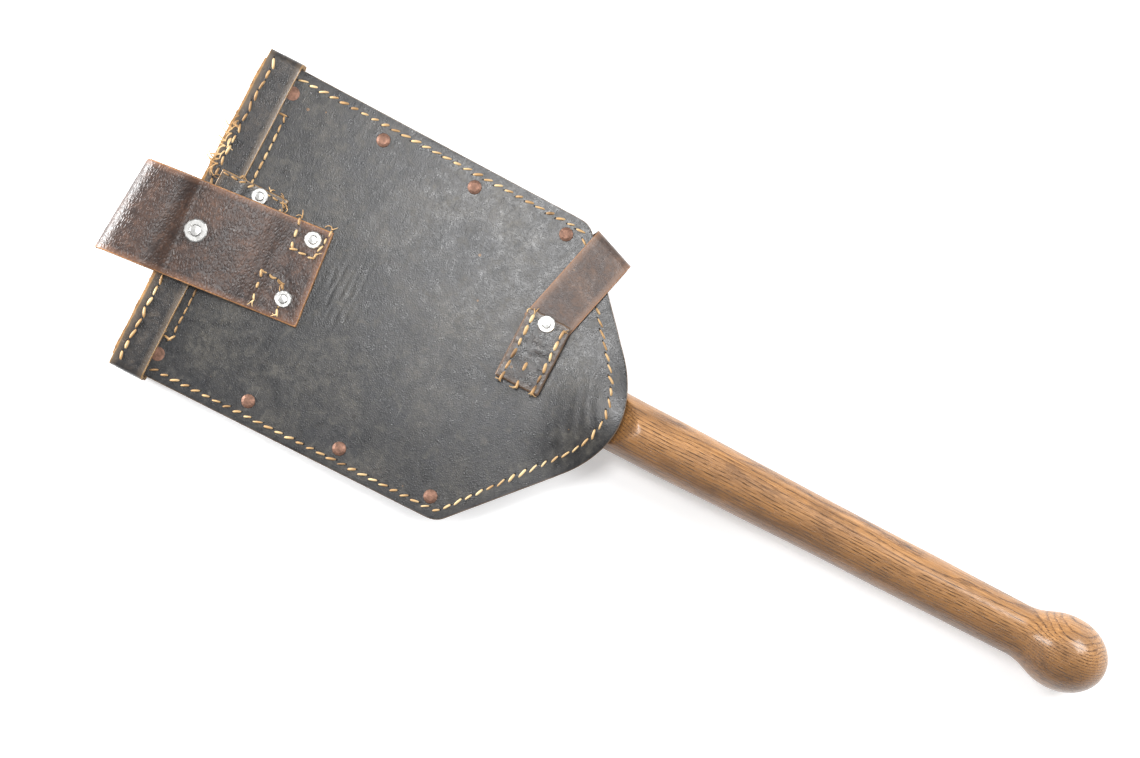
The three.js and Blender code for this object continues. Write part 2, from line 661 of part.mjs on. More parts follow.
// ---- Carrier: buckle on the front ---------------------------------------------------------------
const BAR_PLACE = [-66, -44];
const CHAPE_ANGLE = 79 * THREE.MathUtils.DEG2RAD;   // from the chape's rivet towards the buckle
const CHAPE_THICK = 1.6;
const BAR = 2.6;                 // square wire of the buckle frame
const CHAPE_BEND = 2.9;
const CHAPE_TOP = -PANEL_TOP - GAP - CHAPE_THICK / 2;
const BAR_Z = CHAPE_TOP - CHAPE_BEND;
const CHAPE_RIVET_X = -26;
const BUCKLE_LENGTH = 23;        // between the middles of the two bars
const BUCKLE_WIDTH = 34;

function chapeRivetPlace() {
  return [
    BAR_PLACE[0] + CHAPE_RIVET_X * Math.cos(CHAPE_ANGLE),
    BAR_PLACE[1] + CHAPE_RIVET_X * Math.sin(CHAPE_ANGLE),
  ];
}
part(carrier, 'front_frame', frontFrameGeometry(), blackLeather());

const buckle = new THREE.Group();
buckle.position.set(...BAR_PLACE, BAR_Z);
buckle.rotation.z = CHAPE_ANGLE;
carrier.add(buckle);

// Chape: a strip folded round the buckle's bar, its two legs riveted to the front frame.
function chapeGeometry() {
  const closed = CHAPE_BEND - CHAPE_THICK - GAP;
  const line = trace((path) => {
    path.moveTo(-35, CHAPE_BEND);
    path.absarc(0, 0, CHAPE_BEND, Math.PI / 2, -Math.PI / 2, true);
    path.lineTo(-13, -CHAPE_BEND);
    path.lineTo(-19, closed);
    path.lineTo(-35, closed);
  }, 8);
  return cut(
    across(ribbon(line, CHAPE_THICK), 24),
    box(-6.5, 6, -3.2, 3.2, -6, 6),
    drill(CHAPE_RIVET_X, 0, SILVER_SHANK + GAP),
  );
}
part(buckle, 'buckle_chape', chapeGeometry(), blackLeather());

// Keeper: a flat ring held between the chape's legs, for the strap's end to pass through.
function keeperGeometry() {
  const outer = box(-12.4, -7.4, -15, 15, -8.2, -0.1);
  const inner = box(-14, -6, -13.6, 13.6, -6.9, -1.4);
  return cut(outer, inner);
}
part(buckle, 'strap_keeper', keeperGeometry(), brownLeather());

const chapeRivetSeat = 2 * CHAPE_THICK + GAP * 4 + LEATHER + 1.1;
const chapeRivet = part(buckle, 'chape_rivet', setRivet(
  INNER_HEAD, INNER_HEAD_THICK, SILVER_SHANK, chapeRivetSeat + 1, 2.7,
), aluminium());
chapeRivet.rotation.x = Math.PI;
chapeRivet.position.set(CHAPE_RIVET_X, 0, -PANEL_Z - BAR_Z + INNER_HEAD_THICK + 0.2);
const chapeBurr = part(buckle, 'chape_burr', burr(SILVER_SHANK + 0.15, SILVER_BURR, 1), aluminium());
chapeBurr.rotation.x = Math.PI;
chapeBurr.position.set(CHAPE_RIVET_X, 0, -2 * CHAPE_THICK - 2 * GAP + CHAPE_BEND + CHAPE_THICK / 2);

// Buckle frame, turning on the chape; its prong turns on the same bar; a roller on the far bar.
function buckleFrameGeometry() {
  const rectangle = (lowX, highX, halfY, corner) => trace((path) => {
    path.moveTo(lowX, -halfY + corner);
    path.quadraticCurveTo(lowX, -halfY, lowX + corner, -halfY);
    path.lineTo(highX - corner, -halfY);
    path.quadraticCurveTo(highX, -halfY, highX, -halfY + corner);
    path.lineTo(highX, halfY - corner);
    path.quadraticCurveTo(highX, halfY, highX - corner, halfY);
    path.lineTo(lowX + corner, halfY);
    path.quadraticCurveTo(lowX, halfY, lowX, halfY - corner);
  }, 3);
  const shape = new THREE.Shape(rectangle(-BAR / 2, BUCKLE_LENGTH + BAR / 2, BUCKLE_WIDTH / 2, 3));
  shape.holes.push(new THREE.Path(rectangle(BAR / 2, BUCKLE_LENGTH - BAR / 2, BUCKLE_WIDTH / 2 - BAR, 0.8)));
  return sheet(shape, -BAR / 2, BAR / 2);
}
part(buckle, 'buckle_frame', buckleFrameGeometry(), steel());

const ROLLER_BORE = 2.1;
const ROLLER_RADIUS = 3;
const roller = part(buckle, 'buckle_roller', turned([
  [ROLLER_BORE, -13], [ROLLER_RADIUS, -13], [ROLLER_RADIUS, 13], [ROLLER_BORE, 13], [ROLLER_BORE, -13],
], 16), steel());
roller.rotation.x = Math.PI / 2;
roller.position.x = BUCKLE_LENGTH;

function prongGeometry() {
  const eye = turned([[2.1, -1.8], [3.4, -1.8], [3.4, 1.8], [2.1, 1.8], [2.1, -1.8]], 16);
  eye.rotateX(Math.PI / 2);
  const arm = across(new THREE.Shape([
    new THREE.Vector2(0.5, -3.3),
    new THREE.Vector2(3.1, -1),
    new THREE.Vector2(19, -ROLLER_RADIUS - GAP),
    new THREE.Vector2(BUCKLE_LENGTH + 2.5, -ROLLER_RADIUS - GAP),
    new THREE.Vector2(BUCKLE_LENGTH + 2, -ROLLER_RADIUS - 1.8),
    new THREE.Vector2(17, -ROLLER_RADIUS - 2.3),
  ]), 3);
  const bore = drill(0, 0, 2.1, -3, 3);
  bore.rotateX(Math.PI / 2);
  return cut(join(eye, arm), bore);
}
part(buckle, 'buckle_prong', prongGeometry(), steel());

// ---- Origin: middle of the footprint, on the table --------------------------------------------
outfit.updateMatrixWorld(true);
const extent = new THREE.Box3().setFromObject(outfit, true);
outfit.position.x -= (extent.min.x + extent.max.x) / 2;
outfit.position.y -= (extent.min.y + extent.max.y) / 2;
outfit.position.z -= extent.min.z;

const spadeOutfit = new THREE.Group();
spadeOutfit.add(outfit);
export default spadeOutfit;
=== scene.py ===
"""A camp spade put away in its leather carrier, seen from above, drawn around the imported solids."""
import json
import math

import bmesh
import bpy
import numpy as np
from mathutils import Matrix, Vector, noise


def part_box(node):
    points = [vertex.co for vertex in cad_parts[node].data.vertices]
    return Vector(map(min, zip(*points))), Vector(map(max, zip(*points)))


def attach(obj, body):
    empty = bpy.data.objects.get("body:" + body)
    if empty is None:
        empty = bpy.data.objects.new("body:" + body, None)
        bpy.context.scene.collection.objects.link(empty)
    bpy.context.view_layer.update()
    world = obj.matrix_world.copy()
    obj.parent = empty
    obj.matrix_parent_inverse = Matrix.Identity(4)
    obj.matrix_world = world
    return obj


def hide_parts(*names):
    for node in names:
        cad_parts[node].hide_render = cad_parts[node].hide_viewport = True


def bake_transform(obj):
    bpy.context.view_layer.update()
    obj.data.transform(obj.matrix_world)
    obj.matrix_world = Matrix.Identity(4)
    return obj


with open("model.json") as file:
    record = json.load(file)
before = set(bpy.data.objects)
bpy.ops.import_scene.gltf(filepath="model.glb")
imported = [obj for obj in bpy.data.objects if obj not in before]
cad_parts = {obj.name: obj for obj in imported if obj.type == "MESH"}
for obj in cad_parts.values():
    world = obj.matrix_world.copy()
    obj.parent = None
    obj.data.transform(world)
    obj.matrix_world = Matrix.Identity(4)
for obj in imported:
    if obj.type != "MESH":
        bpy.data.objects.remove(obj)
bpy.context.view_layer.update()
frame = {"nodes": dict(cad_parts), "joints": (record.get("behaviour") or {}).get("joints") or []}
scene = bpy.context.scene

# ---- Studio ---------------------------------------------------------------------------------
# A white table under a large soft box, seen from straight above through a long lens.
# The surroundings are white too, so leather and steel pick up pale reflections all round.
scene.view_settings.view_transform = "Standard"
scene.view_settings.look = "None"

CAMERA_HEIGHT = 1.9
PICTURE_WIDTH = 0.6213          # what the picture covers from side to side
PICTURE_CENTRE = (-0.0344, 0.0114, 0.025)
PICTURE_TURN = math.radians(27.4)

camera = bpy.data.objects.new("camera", bpy.data.cameras.new("camera"))
scene.collection.objects.link(camera)
camera.location = (PICTURE_CENTRE[0], PICTURE_CENTRE[1], CAMERA_HEIGHT)
camera.rotation_euler = (0, 0, PICTURE_TURN)
camera.data.sensor_width = 36
camera.data.lens = 36 * (CAMERA_HEIGHT - PICTURE_CENTRE[2]) / PICTURE_WIDTH
camera.data.clip_start = 0.05
scene.camera = camera


def linear(colour):
    """An sRGB hex colour as a linear RGBA tuple."""
    channels = [int(colour[i:i + 2], 16) / 255 for i in (1, 3, 5)]
    return (*[c / 12.92 if c <= 0.04045 else ((c + 0.055) / 1.055) ** 2.4 for c in channels], 1.0)


def add(tree, kind, settings=None, links=None):
    """Adds a node: settings go to its inputs or its own fields, links join sockets to its inputs."""
    made = tree.nodes.new(kind)
    for key, value in (settings or {}).items():
        if isinstance(value, str) and value.startswith("#"):
            value = linear(value)
        if key == "stops":
            ramp = made.color_ramp
            while len(ramp.elements) < len(value):
                ramp.elements.new(0.5)
            for element, (position, colour) in zip(ramp.elements, value):
                element.position = position
                element.color = linear(colour)
        elif isinstance(key, int) or key in made.inputs:
            made.inputs[key].default_value = value
        else:
            setattr(made, key, value)
    for key, socket in (links or {}).items():
        tree.links.new(socket, made.inputs[key])
    return made


def new_material(name):
    """An empty node material and its tree, with the output node ready."""
    made = bpy.data.materials.new(name)
    made.use_nodes = True
    made.node_tree.nodes.clear()
    return made, made.node_tree


def soft_box(name, place, aim, size, power):
    """A square soft box at a place, facing a point."""
    light = bpy.data.lights.new(name, "AREA")
    light.shape = "SQUARE"
    light.size = size
    light.energy = power
    lamp = bpy.data.objects.new(name, light)
    lamp.location = place
    lamp.rotation_euler = (Vector(aim) - Vector(place)).to_track_quat("-Z", "Y").to_euler()
    lamp.visible_camera = False
    scene.collection.objects.link(lamp)


soft_box("overhead_box", (-0.20, 0.115, 0.75), (-0.10, 0.05, 0), 0.20, 2.6)
soft_box("window_box", (0.9, 1.1, 1.2), (0, 0, 0), 0.8, 30)
soft_box("left_box", (-0.95, -0.10, 0.22), (-0.25, 0, 0.02), 0.35, 16)

world = bpy.data.worlds.new("white_room")
world.use_nodes = True
world.node_tree.nodes["Background"].inputs["Color"].default_value = (1, 1, 1, 1)
world.node_tree.nodes["Background"].inputs["Strength"].default_value = 0.42
scene.world = world

# Opal acrylic, cast smooth and lit from below as well: an even white, in which shadows stay pale.
# Its faint clouds are about 17 mm across.
table_paint, tree = new_material("lit_white_acrylic")
coordinates = add(tree, "ShaderNodeTexCoord")
clouds = add(tree, "ShaderNodeTexNoise", {"Scale": 1000 / 17, "Detail": 3},
             {"Vector": coordinates.outputs["Object"]})
tint = add(tree, "ShaderNodeValToRGB", {"stops": [(0.3, "#f7f7f8"), (0.7, "#fafafa")]},
           {"Fac": clouds.outputs["Fac"]})
paint = add(tree, "ShaderNodeBsdfPrincipled",
            {"Roughness": 0.75, "Emission Color": (1, 1, 1, 1), "Emission Strength": 0.3},
            {"Base Color": tint.outputs["Color"]})
add(tree, "ShaderNodeOutputMaterial", None, {"Surface": paint.outputs["BSDF"]})

bm = bmesh.new()
bmesh.ops.create_grid(bm, x_segments=4, y_segments=4, size=6)
table_mesh = bpy.data.meshes.new("table")
bm.to_mesh(table_mesh)
bm.free()
table = bpy.data.objects.new("table", table_mesh)
table.data.materials.append(table_paint)
scene.collection.objects.link(table)

# ---- Back panel -----------------------------------------------------------------------------
# One sheet of 3 mm black leather, waxed and worn, that forms the back of the carrier. It was wet
# when it was stretched over the spade's neck, so it keeps a dome there. Its cut edge is browned.
LEATHER = 3.0
PANEL_Z = 2.8                   # underside of the panel, over the middle of the pocket
PANEL_TOP = PANEL_Z + LEATHER
NOSE_X = 0.5
MOUTH_X = -264.5
MOUTH_HALF = 94.6
SHOULDER_HALF = 91.5
SHOULDER_X = -72
NECK_Y = 2.5
DOME_START = -50
DOME_HEIGHT = 5.8
DOME_HALF = 45

# The carrier leans, so its pieces are made in its own millimetres and then put in place: x runs
# from the closed end to the nose, z out of the back panel, and zero is under the nose's tip.
slide = next(j for j in frame["joints"] if j["name"] == "shovel_slide")
carrier_x = Vector(slide["axis"]).normalized()
carrier_z = Vector((-carrier_x.z, 0, carrier_x.x))
low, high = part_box("end_welt")
WELT_MIDDLE = 260.35            # from the end welt's middle to the nose
nose = (low + high) / 2 + carrier_x * WELT_MIDDLE / 1000
CARRIER = Matrix((
    (carrier_x.x / 1000, 0, carrier_z.x / 1000, nose.x),
    (0, 0.001, 0, nose.y),
    (carrier_x.z / 1000, 0, carrier_z.z / 1000, nose.z),
    (0, 0, 0, 1),
))


def bezier(a, b, c, d, steps):
    """Points on a cubic curve, without its first one."""
    a, b, c, d = (np.array(p, float) for p in (a, b, c, d))
    t = np.linspace(0, 1, steps + 1)[1:, None]
    return list((1 - t) ** 3 * a + 3 * (1 - t) ** 2 * t * b + 3 * (1 - t) * t * t * c + t ** 3 * d)


def half_outline(inset=0.0, nose_inset=None):
    """Upper half of the carrier's outline, from the nose to the closed end, moved inwards."""
    nose_inset = inset if nose_inset is None else nose_inset
    points = [np.array((NOSE_X, 0.0))]
    points += bezier((NOSE_X, 0), (NOSE_X, 12), (-5.5, 25.5), (-15, 36), 14)
    points += bezier((-15, 36), (-30, 52.7), (-45, 69.3), (-60, 86), 10)
    points += bezier((-60, 86), (-63, 89.8), (-66, SHOULDER_HALF), (SHOULDER_X, SHOULDER_HALF), 8)
    steps = 40
    for i in range(1, steps + 1):
        share = i / steps
        points.append(np.array((
            SHOULDER_X + (MOUTH_X - SHOULDER_X) * share,
            SHOULDER_HALF + (MOUTH_HALF - SHOULDER_HALF) * share,
        )))
    moved = []
    for i, point in enumerate(points):
        before = points[i - 1] if i else np.array((NOSE_X, -1.0))
        after = points[min(i + 1, len(points) - 1)]
        run = (after - before) / np.linalg.norm(after - before)
        towards_nose = min(max((point[0] + 62) / 45, 0), 1)
        distance = inset + (nose_inset - inset) * towards_nose
        moved.append(point + distance * np.array((-run[1], run[0])))
    return moved


def mirrored(points):
    """The lower half's points, from an upper half's, in the other order."""
    return [np.array((p[0], -p[1])) for p in reversed(points)]


def dome(x, y):
    """How far the panel rises over the neck."""
    share = min(max((x - DOME_START) / -DOME_START, 0), 1)
    rise = share * share * (3 - 2 * share)
    side = min(abs(y - NECK_Y) / DOME_HALF, 1)
    return DOME_HEIGHT * rise * math.cos(side * math.pi / 2) ** 2


def wave(x, y, size, seed):
    """Slow unevenness between -1 and 1, with hills about `size` across."""
    return noise.noise(Vector((x / size, y / size, seed)))


def link(name, mesh, materials, matrix=None):
    """A shown object, at the origin, whose mesh is first moved by the matrix."""
    if matrix is not None:
        mesh.transform(matrix)
    made = bpy.data.objects.new(name, mesh)
    for material in materials:
        made.data.materials.append(material)
    scene.collection.objects.link(made)
    return made


def plain_mesh(made):
    """The object's mesh with its modifiers worked in, and the modifiers gone."""
    graph = bpy.context.evaluated_depsgraph_get()
    mesh = bpy.data.meshes.new_from_object(made.evaluated_get(graph), depsgraph=graph)
    made.modifiers.clear()
    old = made.data
    made.data = mesh
    bpy.data.meshes.remove(old)
    return made


def cut_leather(name, outline, lay, thickness, materials, cell=3.0, edge=0.6, face_down=False,
                matrix=CARRIER, holes=(), rim_of=None):
    """A piece of leather cut to a flat outline, then laid in place with its cut edges rounded.

    lay(u, v) gives where a point of the flat cut comes to lie, on the grain side. The mesh keeps
    the flat place in "flat" and the distance from the cut edge in "rim", both in millimetres.
    cell is the width of its squares and edge the radius of its rounded edges. rim_of is the whole
    strip's outline, where the piece is only a part of a strip.
    """
    outline = [np.array(p, float) for p in outline]
    loops = [outline] + [[np.array(p, float) for p in hole] for hole in holes]
    bm = bmesh.new()
    for ring in loops:
        corners = [bm.verts.new((p[0], p[1], 0)) for p in ring]
        if holes:
            for a, b in zip(corners, corners[1:] + corners[:1]):
                bm.edges.new((a, b))
        else:
            bm.faces.new(corners)
    if holes:
        bmesh.ops.triangle_fill(bm, use_beauty=True, use_dissolve=False, edges=bm.edges[:], normal=(0, 0, 1))
    bm.normal_update()
    wrong = [face for face in bm.faces if (face.normal.z < 0) != face_down]
    bmesh.ops.reverse_faces(bm, faces=wrong)
    corners = np.array(outline)
    for axis in (0, 1):
        cuts = max(round((corners[:, axis].max() - corners[:, axis].min()) / cell), 1)
        for value in np.linspace(corners[:, axis].min(), corners[:, axis].max(), cuts + 1)[1:-1]:
            point = [0.0, 0.0, 0.0]
            point[axis] = value
            normal = [0, 0, 0]
            normal[axis] = 1
            everything = bm.verts[:] + bm.edges[:] + bm.faces[:]
            bmesh.ops.bisect_plane(bm, geom=everything, dist=1e-3, plane_co=point, plane_no=normal)
    mesh = bpy.data.meshes.new(name)
    bm.to_mesh(mesh)
    bm.free()
    flat = np.zeros(len(mesh.vertices) * 3)
    mesh.vertices.foreach_get("co", flat)
    flat = flat.reshape(-1, 3)
    rim = np.full(len(flat), 1e9)
    for ring in [rim_of or outline] + loops[1:]:
        for start, end in zip(ring, ring[1:] + ring[:1]):
            start, end = np.array(start, float), np.array(end, float)
            run = end - start
            share = np.clip(((flat[:, :2] - start) @ run) / max(run @ run, 1e-9), 0, 1)
            rim = np.minimum(rim, np.linalg.norm(flat[:, :2] - start - share[:, None] * run, axis=1))
    mesh.attributes.new("flat", "FLOAT_VECTOR", "POINT").data.foreach_set("vector", flat.ravel())
    mesh.attributes.new("rim", "FLOAT", "POINT").data.foreach_set("value", rim)
    placed = np.array([lay(u, v) for u, v, _ in flat], float)
    mesh.vertices.foreach_set("co", placed.ravel())
    mesh.update()
    made = link(name, mesh, materials)
    solid = made.modifiers.new("thickness", "SOLIDIFY")
    solid.thickness = thickness
    solid.offset = -1
    solid.material_offset_rim = 1 if len(materials) > 1 else 0
    rounded = made.modifiers.new("edge", "BEVEL")
    rounded.width = edge
    rounded.segments = 3
    rounded.limit_method = "ANGLE"
    rounded.angle_limit = math.radians(50)
    plain_mesh(made)
    made.data.polygons.foreach_set("use_smooth", [True] * len(made.data.polygons))
    made.data.transform(matrix)
    made.data.update()
    return made


def leather(name, deep, light, worn, pebble, depth, gloss, stretch=1.0, patch=45.0, raw="#8d6f4c",
            raw_width=0.5, wrinkle=0.00005, scuffs=0.6, edge_tint=None, blotches=0.0):
    """Leather dyed on its grain side: clouds of colour, rubbed spots, pebbled grain, creases, scratches.

    pebble is the width of the widest grain cells and patch of a cloud of colour, in millimetres;
    depth and wrinkle are the heights of the grain and of the creases in metres, and depth also sets
    how strongly painted shade darkens the grain's valleys; stretch above 1 draws the cells out across
    the strip. gloss is the roughness where it is smoothest. raw is the undyed leather that shows along
    the cut edge. edge_tint colours a band 1 to 4 mm in from the cut edge: rubbed wear when it is left
    to worn, painted shade when it is dark. scuffs and blotches say how strongly scratches and black
    stains show.
    """
    made, tree = new_material(name)
    flat = add(tree, "ShaderNodeAttribute", {"attribute_name": "flat"}).outputs["Vector"]
    rim = add(tree, "ShaderNodeAttribute", {"attribute_name": "rim"}).outputs["Fac"]

    # The hide's unevenness: size of its lumps in millimetres and how far they are drawn out across
    # the strip, then their turn, detail, roughness and distortion. Real scratches are 0.1 mm wide
    # and real fine creases 0.5 mm: both are drawn coarser, to show.
    uneven = {}
    for kind, size, drawn_out, turn, detail, roughness, distortion in (
        ("clouds", patch, 1, 0, 6, 0.65, 0.3),
        ("rubs", 7, 1, 0, 9, 0.72, 0.6),
        ("fine", 1.3, 2.6, 0, 5, 0.7, 0.5),
        ("mottle", 2.4, 1, 0, 7, 0.8, 0.4),
        ("scratch", 0.45, 60, 0.5, 2, 0.5, 0.1),
        ("cross_scratch", 0.6, 60, -0.9, 2, 0.5, 0.1),
        ("blotch", 11, 1, 0, 9, 0.78, 0.8),
        ("creases", 5.5, 2.2, 0, 6, 0.62, 0.8),
    ):
        place = add(tree, "ShaderNodeMapping",
                    {"Rotation": (0, 0, turn), "Scale": (1 / size, 1 / size / drawn_out, 1)},
                    {"Vector": flat})
        lumps = add(tree, "ShaderNodeTexNoise",
                    {"Scale": 1, "Detail": detail, "Roughness": roughness, "Distortion": distortion},
                    {"Vector": place.outputs["Vector"]})
        uneven[kind] = lumps.outputs["Fac"]

    mottled = add(tree, "ShaderNodeMapRange", {"From Min": 0.46, "From Max": 0.66},
                  {"Value": uneven["mottle"]})
    in_clouds = add(tree, "ShaderNodeMapRange",
                    {"From Min": 0.5, "From Max": 0.66, "To Min": 0.15, "To Max": 0.75},
                    {"Value": uneven["clouds"]})
    mottle_here = add(tree, "ShaderNodeMath", {"operation": "MULTIPLY"},
                      {0: mottled.outputs["Result"], 1: in_clouds.outputs["Result"]})
    # Knocks in the dye: at most one in each 11 mm, round and up to 2 mm across.
    knocks = add(tree, "ShaderNodeTexVoronoi", {"Scale": 1 / 11}, {"Vector": flat})
    knock_chance = add(tree, "ShaderNodeSeparateColor", None, {"Color": knocks.outputs["Color"]})
    knock_size = add(tree, "ShaderNodeMapRange", {"From Min": 0.72, "From Max": 1.0, "To Max": 0.085},
                     {"Value": knock_chance.outputs[0]})
    knocked = add(tree, "ShaderNodeMath", {"operation": "LESS_THAN"},
                  {0: knocks.outputs["Distance"], 1: knock_size.outputs["Result"]})
    # The band along the cut edge, rubbed wear and on the black cowhide painted shade, is wider in some places
    # than in others.
    rim_error = add(tree, "ShaderNodeMath",
                    {"operation": "MULTIPLY_ADD", 1: -2.2 * raw_width, 2: 1.1 * raw_width},
                    {0: uneven["rubs"]})
    rim_wear_and_shade = add(tree, "ShaderNodeMath", {"operation": "ADD"}, {0: rim, 1: rim_error.outputs["Value"]})

    # Layers of colour, from the dye up: what each one follows, from where to where, how strongly
    # at most, and its colour.
    dyed = add(tree, "ShaderNodeRGB")
    dyed.outputs[0].default_value = linear(deep)
    dyed = dyed.outputs[0]
    for follows, begins, is_full, most, colour in (
        (uneven["clouds"], 0.36, 0.66, 1.0, light),
        (uneven["rubs"], 0.52, 0.8, 0.8, worn),
        (mottle_here.outputs["Value"], 0, 1, 1.0, worn),
        (uneven["fine"], 0.3, 0.72, 0.6, "#17171a"),
        (uneven["scratch"], 0.725, 0.8, scuffs * 0.7, "#a9a79f"),
        (uneven["cross_scratch"], 0.725, 0.8, scuffs * 0.7, "#a9a79f"),
        (knocked.outputs["Value"], 0, 1, scuffs, "#94704c"),
        (uneven["blotch"], 0.47, 0.62, blotches, "#0c0d10"),
        # A band 1 to 4 mm in from the cut edge takes edge_tint: rubbed wear where that is the worn colour,
        # painted shade where it is dark.
        (rim_wear_and_shade.outputs["Value"], 4.2, 1.2, 0.6, edge_tint or worn),
        (rim_wear_and_shade.outputs["Value"], raw_width + 0.25, raw_width - 0.1, 1.0, raw),
    ):
        strength = add(tree, "ShaderNodeMapRange", {"From Min": begins, "From Max": is_full, "To Max": most},
                       {"Value": follows})
        layer = add(tree, "ShaderNodeMix", {"data_type": "RGBA", 7: colour},
                    {0: strength.outputs["Result"], 6: dyed})
        dyed = layer.outputs[2]

    # Grain cells: low domes, with painted shade darkening the valleys between them, the more the deeper the
    # grain.
    drawn = add(tree, "ShaderNodeMapping", {"Scale": (1, 1 / stretch, 1)}, {"Vector": flat})
    wander = add(tree, "ShaderNodeTexNoise", {"Scale": 0.5 / pebble, "Detail": 2},
                 {"Vector": drawn.outputs["Vector"]})
    shifted = add(tree, "ShaderNodeMix", {"data_type": "VECTOR", 0: 0.35},
                  {4: drawn.outputs["Vector"], 5: wander.outputs["Color"]})
    cells = add(tree, "ShaderNodeTexVoronoi", {"feature": "DISTANCE_TO_EDGE", "Scale": 1.5 / pebble},
                {"Vector": shifted.outputs[1]})
    domes = add(tree, "ShaderNodeMapRange", {"interpolation_type": "SMOOTHSTEP", "From Max": 0.35},
                {"Value": cells.outputs["Distance"]})
    valleys = add(tree, "ShaderNodeMapRange", {"From Max": 0.16, "To Min": 0.55},
                  {"Value": cells.outputs["Distance"]})
    painted_valley_shade = add(tree, "ShaderNodeCombineColor", None, {i: valleys.outputs["Result"] for i in range(3)})
    grained = add(tree, "ShaderNodeMix",
                  {"data_type": "RGBA", "blend_type": "MULTIPLY", 0: min(depth * 5000, 1.0)},
                  {6: dyed, 7: painted_valley_shade.outputs["Color"]})

    crease_bump = add(tree, "ShaderNodeBump", {"Strength": 1.0, "Distance": wrinkle * 2},
                      {"Height": uneven["creases"]})
    fine_bump = add(tree, "ShaderNodeBump", {"Strength": 1.0, "Distance": wrinkle},
                    {"Height": uneven["fine"], "Normal": crease_bump.outputs["Normal"]})
    grain_bump = add(tree, "ShaderNodeBump", {"Strength": 1.0, "Distance": depth},
                     {"Height": domes.outputs["Result"], "Normal": fine_bump.outputs["Normal"]})
    shine = add(tree, "ShaderNodeMapRange",
                {"From Min": 0.3, "From Max": 0.75, "To Min": gloss, "To Max": gloss + 0.2},
                {"Value": uneven["rubs"]})
    skin = add(tree, "ShaderNodeBsdfPrincipled", {"Specular IOR Level": 0.6},
               {"Base Color": grained.outputs[2], "Roughness": shine.outputs["Result"],
                "Normal": grain_bump.outputs["Normal"]})
    add(tree, "ShaderNodeOutputMaterial", None, {"Surface": skin.outputs["BSDF"]})
    return made


def cut_edge(name, pale, dark, fibre=0.8):
    """The raw edge of a hide: fibres packed in layers, pale where rubbed and dark where dirty.

    fibre is the thickness of a layer in millimetres. Real fibres are about 0.1 mm thick, and the
    layers are drawn thicker, to show; each runs about 6 mm along the edge.
    """
    made, tree = new_material(name)
    place = add(tree, "ShaderNodeTexCoord").outputs["Object"]
    layered = add(tree, "ShaderNodeMapping", {"Scale": (1000 / 6, 1000 / 6, 1000 / fibre)}, {"Vector": place})
    fibres = add(tree, "ShaderNodeTexNoise", {"Scale": 1, "Detail": 6, "Roughness": 0.7},
                 {"Vector": layered.outputs["Vector"]})
    tone = add(tree, "ShaderNodeValToRGB", {"stops": [(0.36, dark), (0.62, pale)]},
               {"Fac": fibres.outputs["Fac"]})
    bump = add(tree, "ShaderNodeBump", {"Strength": 0.8, "Distance": 0.0006},
               {"Height": fibres.outputs["Fac"]})
    skin = add(tree, "ShaderNodeBsdfPrincipled", {"Roughness": 0.85},
               {"Base Color": tone.outputs["Color"], "Normal": bump.outputs["Normal"]})
    add(tree, "ShaderNodeOutputMaterial", None, {"Surface": skin.outputs["BSDF"]})
    return made


# Full-grain cowhide, dyed in a drum and waxed: a charcoal with browner clouds 45 mm across, and a
# soft sheen that its shallow grain breaks up. Real grain cells are about 0.5 mm wide, and they are
# drawn up to 1.1 mm wide, because finer ones would not show.
# The near-black band along its cut edges is painted shade, where the rounded edge turns from the light.
waxed_black = leather("waxed_black_cowhide", "#17191f", "#3c3935", "#6c675c", 1.1, 0.00003, 0.23,
                      raw="#5d4c3b", raw_width=0.3, edge_tint="#101012", blotches=0.75)
# Cut edges rubbed with a wooden slicker until they shine: brown, streaked darker along the hide.
browned_edge = cut_edge("burnished_cut_edge", "#7b624c", "#37302b")


def lay_panel(x, y):
    """The panel's grain side, with ripples beside the belt loop and near the nose."""
    unevenness = 0.12 * wave(x, y, 38, 1.3)
    beside_loop = math.exp(-((x + 168) / 11) ** 2 - ((y + 4) / 20) ** 2)
    near_nose = math.exp(-((x + 18) / 12) ** 2 - ((y + 14) / 26) ** 2)
    unevenness += 0.22 * beside_loop * math.sin(x * 1.5 + 2.2 * wave(x, y, 9, 4.4))
    unevenness += 0.12 * near_nose * math.sin(x * 0.9 + y * 0.35 + 2 * wave(x, y, 8, 6.1))
    return x, y, PANEL_TOP + dome(x, y) + unevenness


half = half_outline()
panel = cut_leather(
    "back_panel_leather", half + mirrored(half)[:-1], lay_panel, LEATHER, [waxed_black, browned_edge],
    cell=1.6,
)
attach(panel, "carrier")
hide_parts("back_panel")

# ---- Welts and linings ------------------------------------------------------------------------
# Strips of thick undyed leather that keep the two sides of the carrier apart, and thin ones that
# line the nose and the closed end, all sewn in between the panel and the front.
POCKET_HALF = 2.5
WELT_INNER = 77
LINING_THICK = 1.2
# Vegetable-tanned cowhide, left undyed: pale brown and dull, with a coarse open grain.
undyed = leather("undyed_cowhide", "#6d5744", "#8a7056", "#a18766", 1.4, 0.00005, 0.6)
# The same hide's edge, cut with a knife and not rubbed: paler than the grain side, with dark fibres.
undyed_edge = cut_edge("undyed_cut_edge", "#8d7152", "#4a3a2c")

for side, name in ((1, "upper_side_welt"), (-1, "lower_side_welt")):
    edge_line = [p for p in half_outline(0.8) if p[0] < -63]
    strip = [np.array((-63, WELT_INNER))] + edge_line + [np.array((MOUTH_X, WELT_INNER))]
    strip = [np.array((p[0], p[1] * side)) for p in strip]
    welt = cut_leather(name + "_leather", strip, lambda x, y: (x, y, POCKET_HALF), 2 * POCKET_HALF,
                       [undyed, undyed_edge], cell=6)
    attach(welt, "carrier")
    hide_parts(name)

